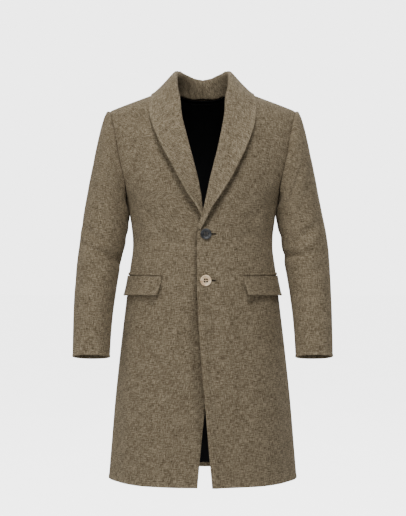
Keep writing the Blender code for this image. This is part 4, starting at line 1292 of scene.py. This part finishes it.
def finish_piece(piece, node=None):
    """Sets a piece in the part on what it rides on, and hides the solid it stands for."""
    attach(piece, "root")
    if node:
        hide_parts(node)


def add_cloth(node, slot, cut, *wall, lined=None):
    """The cloth wall that stands for a solid."""
    finish_piece(cloth_wall(f"{node}_cloth", *wall, lined=lined), node)


def build_coat():
    cloth = tweed("tweed_cloth", (0.054, 0.040, 0.022), (0.176, 0.138, 0.086),
                  (0.360, 0.300, 0.205))
    # The collar's tweed is the body's tweed made lighter: painted light on the collar's faces
    # turned up to the light
    collar_cloth_painted_light = tweed("collar_cloth_painted_light", (0.061, 0.0455, 0.0255), (0.196, 0.155, 0.098),
                         (0.388, 0.325, 0.225))
    lining = satin_lining()
    black_thread_and_hole_shade = thread("black_thread_and_hole_shade", (0.004, 0.003, 0.002), (0.012, 0.008, 0.005))
    thread_dark = thread("thread_dark", (0.026, 0.019, 0.012), (0.070, 0.053, 0.034))
    thread_brown = thread("thread_brown", (0.080, 0.060, 0.036), (0.180, 0.142, 0.092))
    thread_grey = thread("thread_grey", (0.052, 0.048, 0.042), (0.140, 0.132, 0.118))
    for side, sign in SIGNS.items():
        grid = front_grid(side)
        add_cloth(f"front_{side}", "tweed", "front",
                  grid, CLOTH, (TURNED, SEWN, row_swell(grid, TURNED), SEWN), (cloth, lining), sign,
                  lined=lambda hem, top, front, seam: (hem > HEM_TURN) & (front > FACING))
        add_cloth(f"back_{side}", "tweed", "back",
                  back_grid(side), CLOTH, (TURNED, SEWN, SEWN, SEWN), (cloth, lining), -sign,
                  lined=lambda hem, top, middle, seam: hem > BACK_HEM_TURN)
        add_cloth(f"collar_{side}", "collar_tweed", "collar", collar_grid(side), COLLAR_CLOTH,
                  (SEWN, SEWN, SEWN, TURNED), (collar_cloth_painted_light,), sign)
        for part, first, last, columns in (
                ("top", BACK_SEAM_ANGLE - 360, FRONT_SEAM_ANGLE, TOP_SLEEVE_COLUMNS),
                ("under", FRONT_SEAM_ANGLE, BACK_SEAM_ANGLE, UNDER_SLEEVE_COLUMNS)):
            grid, angles = sleeve_grid(side, first, last, columns)
            add_cloth(f"sleeve_{side}_{part}", "tweed", f"sleeve_{part}",
                      grid, CLOTH, (TURNED, SEWN, PRESSED, PRESSED), (cloth, lining), -sign,
                      sleeve_relief(grid, angles),
                      lined=lambda cuff, head, front, back: cuff > HEM_TURN)
        add_cloth(f"flap_{side}", "tweed", "flap",
                  flap_grid(sign), FLAP_CLOTH, (RAW, TURNED, TURNED, TURNED), (cloth,), -sign)
        add_cloth(f"jet_{side}", "tweed", "jet",
                  jet_grid(sign), JET_CLOTH, (SEWN,) * 4, (cloth,), sign)
    add_cloth("lining_back", "lining", "lining_back", lining_grid(), LINING_CLOTH, (RAW,) * 4,
              (lining,), 1)

    dark = horn("slate_horn", (0.008, 0.009, 0.010), (0.022, 0.024, 0.027), (0.066, 0.070, 0.076),
                0.44)
    cream = horn("cream_horn", (0.560, 0.360, 0.190), (0.840, 0.620, 0.390), (0.940, 0.800, 0.580),
                 0.40)
    # Dark material for the walls of the button holes: painted shade in the holes
    hole_painted_shade = thread("hole_painted_shade", (0.010, 0.007, 0.005), (0.030, 0.022, 0.015))
    # Dark brown for the buttonhole slits: painted shade in the cut
    slit_painted_shade = thread("slit_painted_shade", (0.014, 0.010, 0.006), (0.036, 0.027, 0.017))
    buttons = (("button_top", TOP_BUTTON, dark, "dark_horn", True),
               ("button_lower", LOWER_BUTTON, cream, "cream_horn", False))
    for name, button, finish, slot, crosses in buttons:
        piece = add_button(f"{name}_horn", button, finish, hole_painted_shade)
        finish_piece(piece, name)
        # The lower button's holes are filled with near-black thread: thread, and painted shade in
        # the holes
        stitches = add_button_thread(f"{name}_thread", piece,
                                     thread_grey if crosses else black_thread_and_hole_shade, crosses)
        finish_piece(stitches)
    for hole in BUTTONHOLES:
        finish_piece(add_buttonhole(hole, thread_dark if hole.is_open else thread_brown))
        if hole.is_open:
            finish_piece(add_slit(hole, slit_painted_shade))


# Studio

PHOTO_WIDTH = 406         # in pixels
CAMERA_DISTANCE = 3.05
CAMERA_HEIGHT = 0.559     # above the hem
METRES_PER_PIXEL = 0.00255
CENTRE_PIXEL = 202.7      # the coat's middle in the photograph
FLOOR_UNDER_HEM = 0.47
WORLD_LIGHT = 0.21        # what the pale room sends to the coat
BACKDROP_SHOWN = 4.0      # how bright the room itself looks
SENSOR_WIDTH = 36
LIGHTS_AIM = Vector((0, 0, -0.45))


def add_camera():
    camera = bpy.data.cameras.new("camera")
    camera.sensor_fit = "HORIZONTAL"
    camera.sensor_width = SENSOR_WIDTH
    camera.lens = SENSOR_WIDTH * CAMERA_DISTANCE / (METRES_PER_PIXEL * PHOTO_WIDTH)
    placed = new_object("camera", camera)
    placed.location = ((PHOTO_WIDTH / 2 - CENTRE_PIXEL) * METRES_PER_PIXEL, -CAMERA_DISTANCE,
                       CAMERA_HEIGHT - NECK_HEIGHT)
    placed.rotation_euler = (math.pi / 2, 0, 0)
    bpy.context.scene.camera = placed


def add_area_light(name, place, size, power):
    lamp = bpy.data.lights.new(name, "AREA")
    lamp.shape = "RECTANGLE"
    lamp.size, lamp.size_y = size
    lamp.energy = power
    placed = new_object(name, lamp)
    placed.location = place
    placed.rotation_euler = (LIGHTS_AIM - placed.location).to_track_quat("-Z", "Y").to_euler()


def add_studio():
    bpy.ops.mesh.primitive_plane_add(size=60, location=(0, 0, -NECK_HEIGHT - FLOOR_UNDER_HEM))
    floor = bpy.context.object
    floor.name = "studio_floor"
    floor.data.materials.append(pale_floor_material())
    world = bpy.data.worlds.new("studio")
    bpy.context.scene.world = world
    world.use_nodes = True
    tree = world.node_tree
    background = tree.nodes["Background"]
    background.inputs["Color"].default_value = (1.0, 1.0, 1.0, 1)
    tree.links.new(glow(tree, WORLD_LIGHT, BACKDROP_SHOWN), background.inputs["Strength"])
    add_area_light("key", (0.15, -2.3, 2.6), (1.3, 1.3), 96)
    add_area_light("fill", (-2.3, -2.6, 0.9), (2.0, 2.0), 41)
    add_area_light("back", (0.5, 2.4, 3.1), (2.2, 2.2), 110)


build_coat()
add_studio()
add_camera()
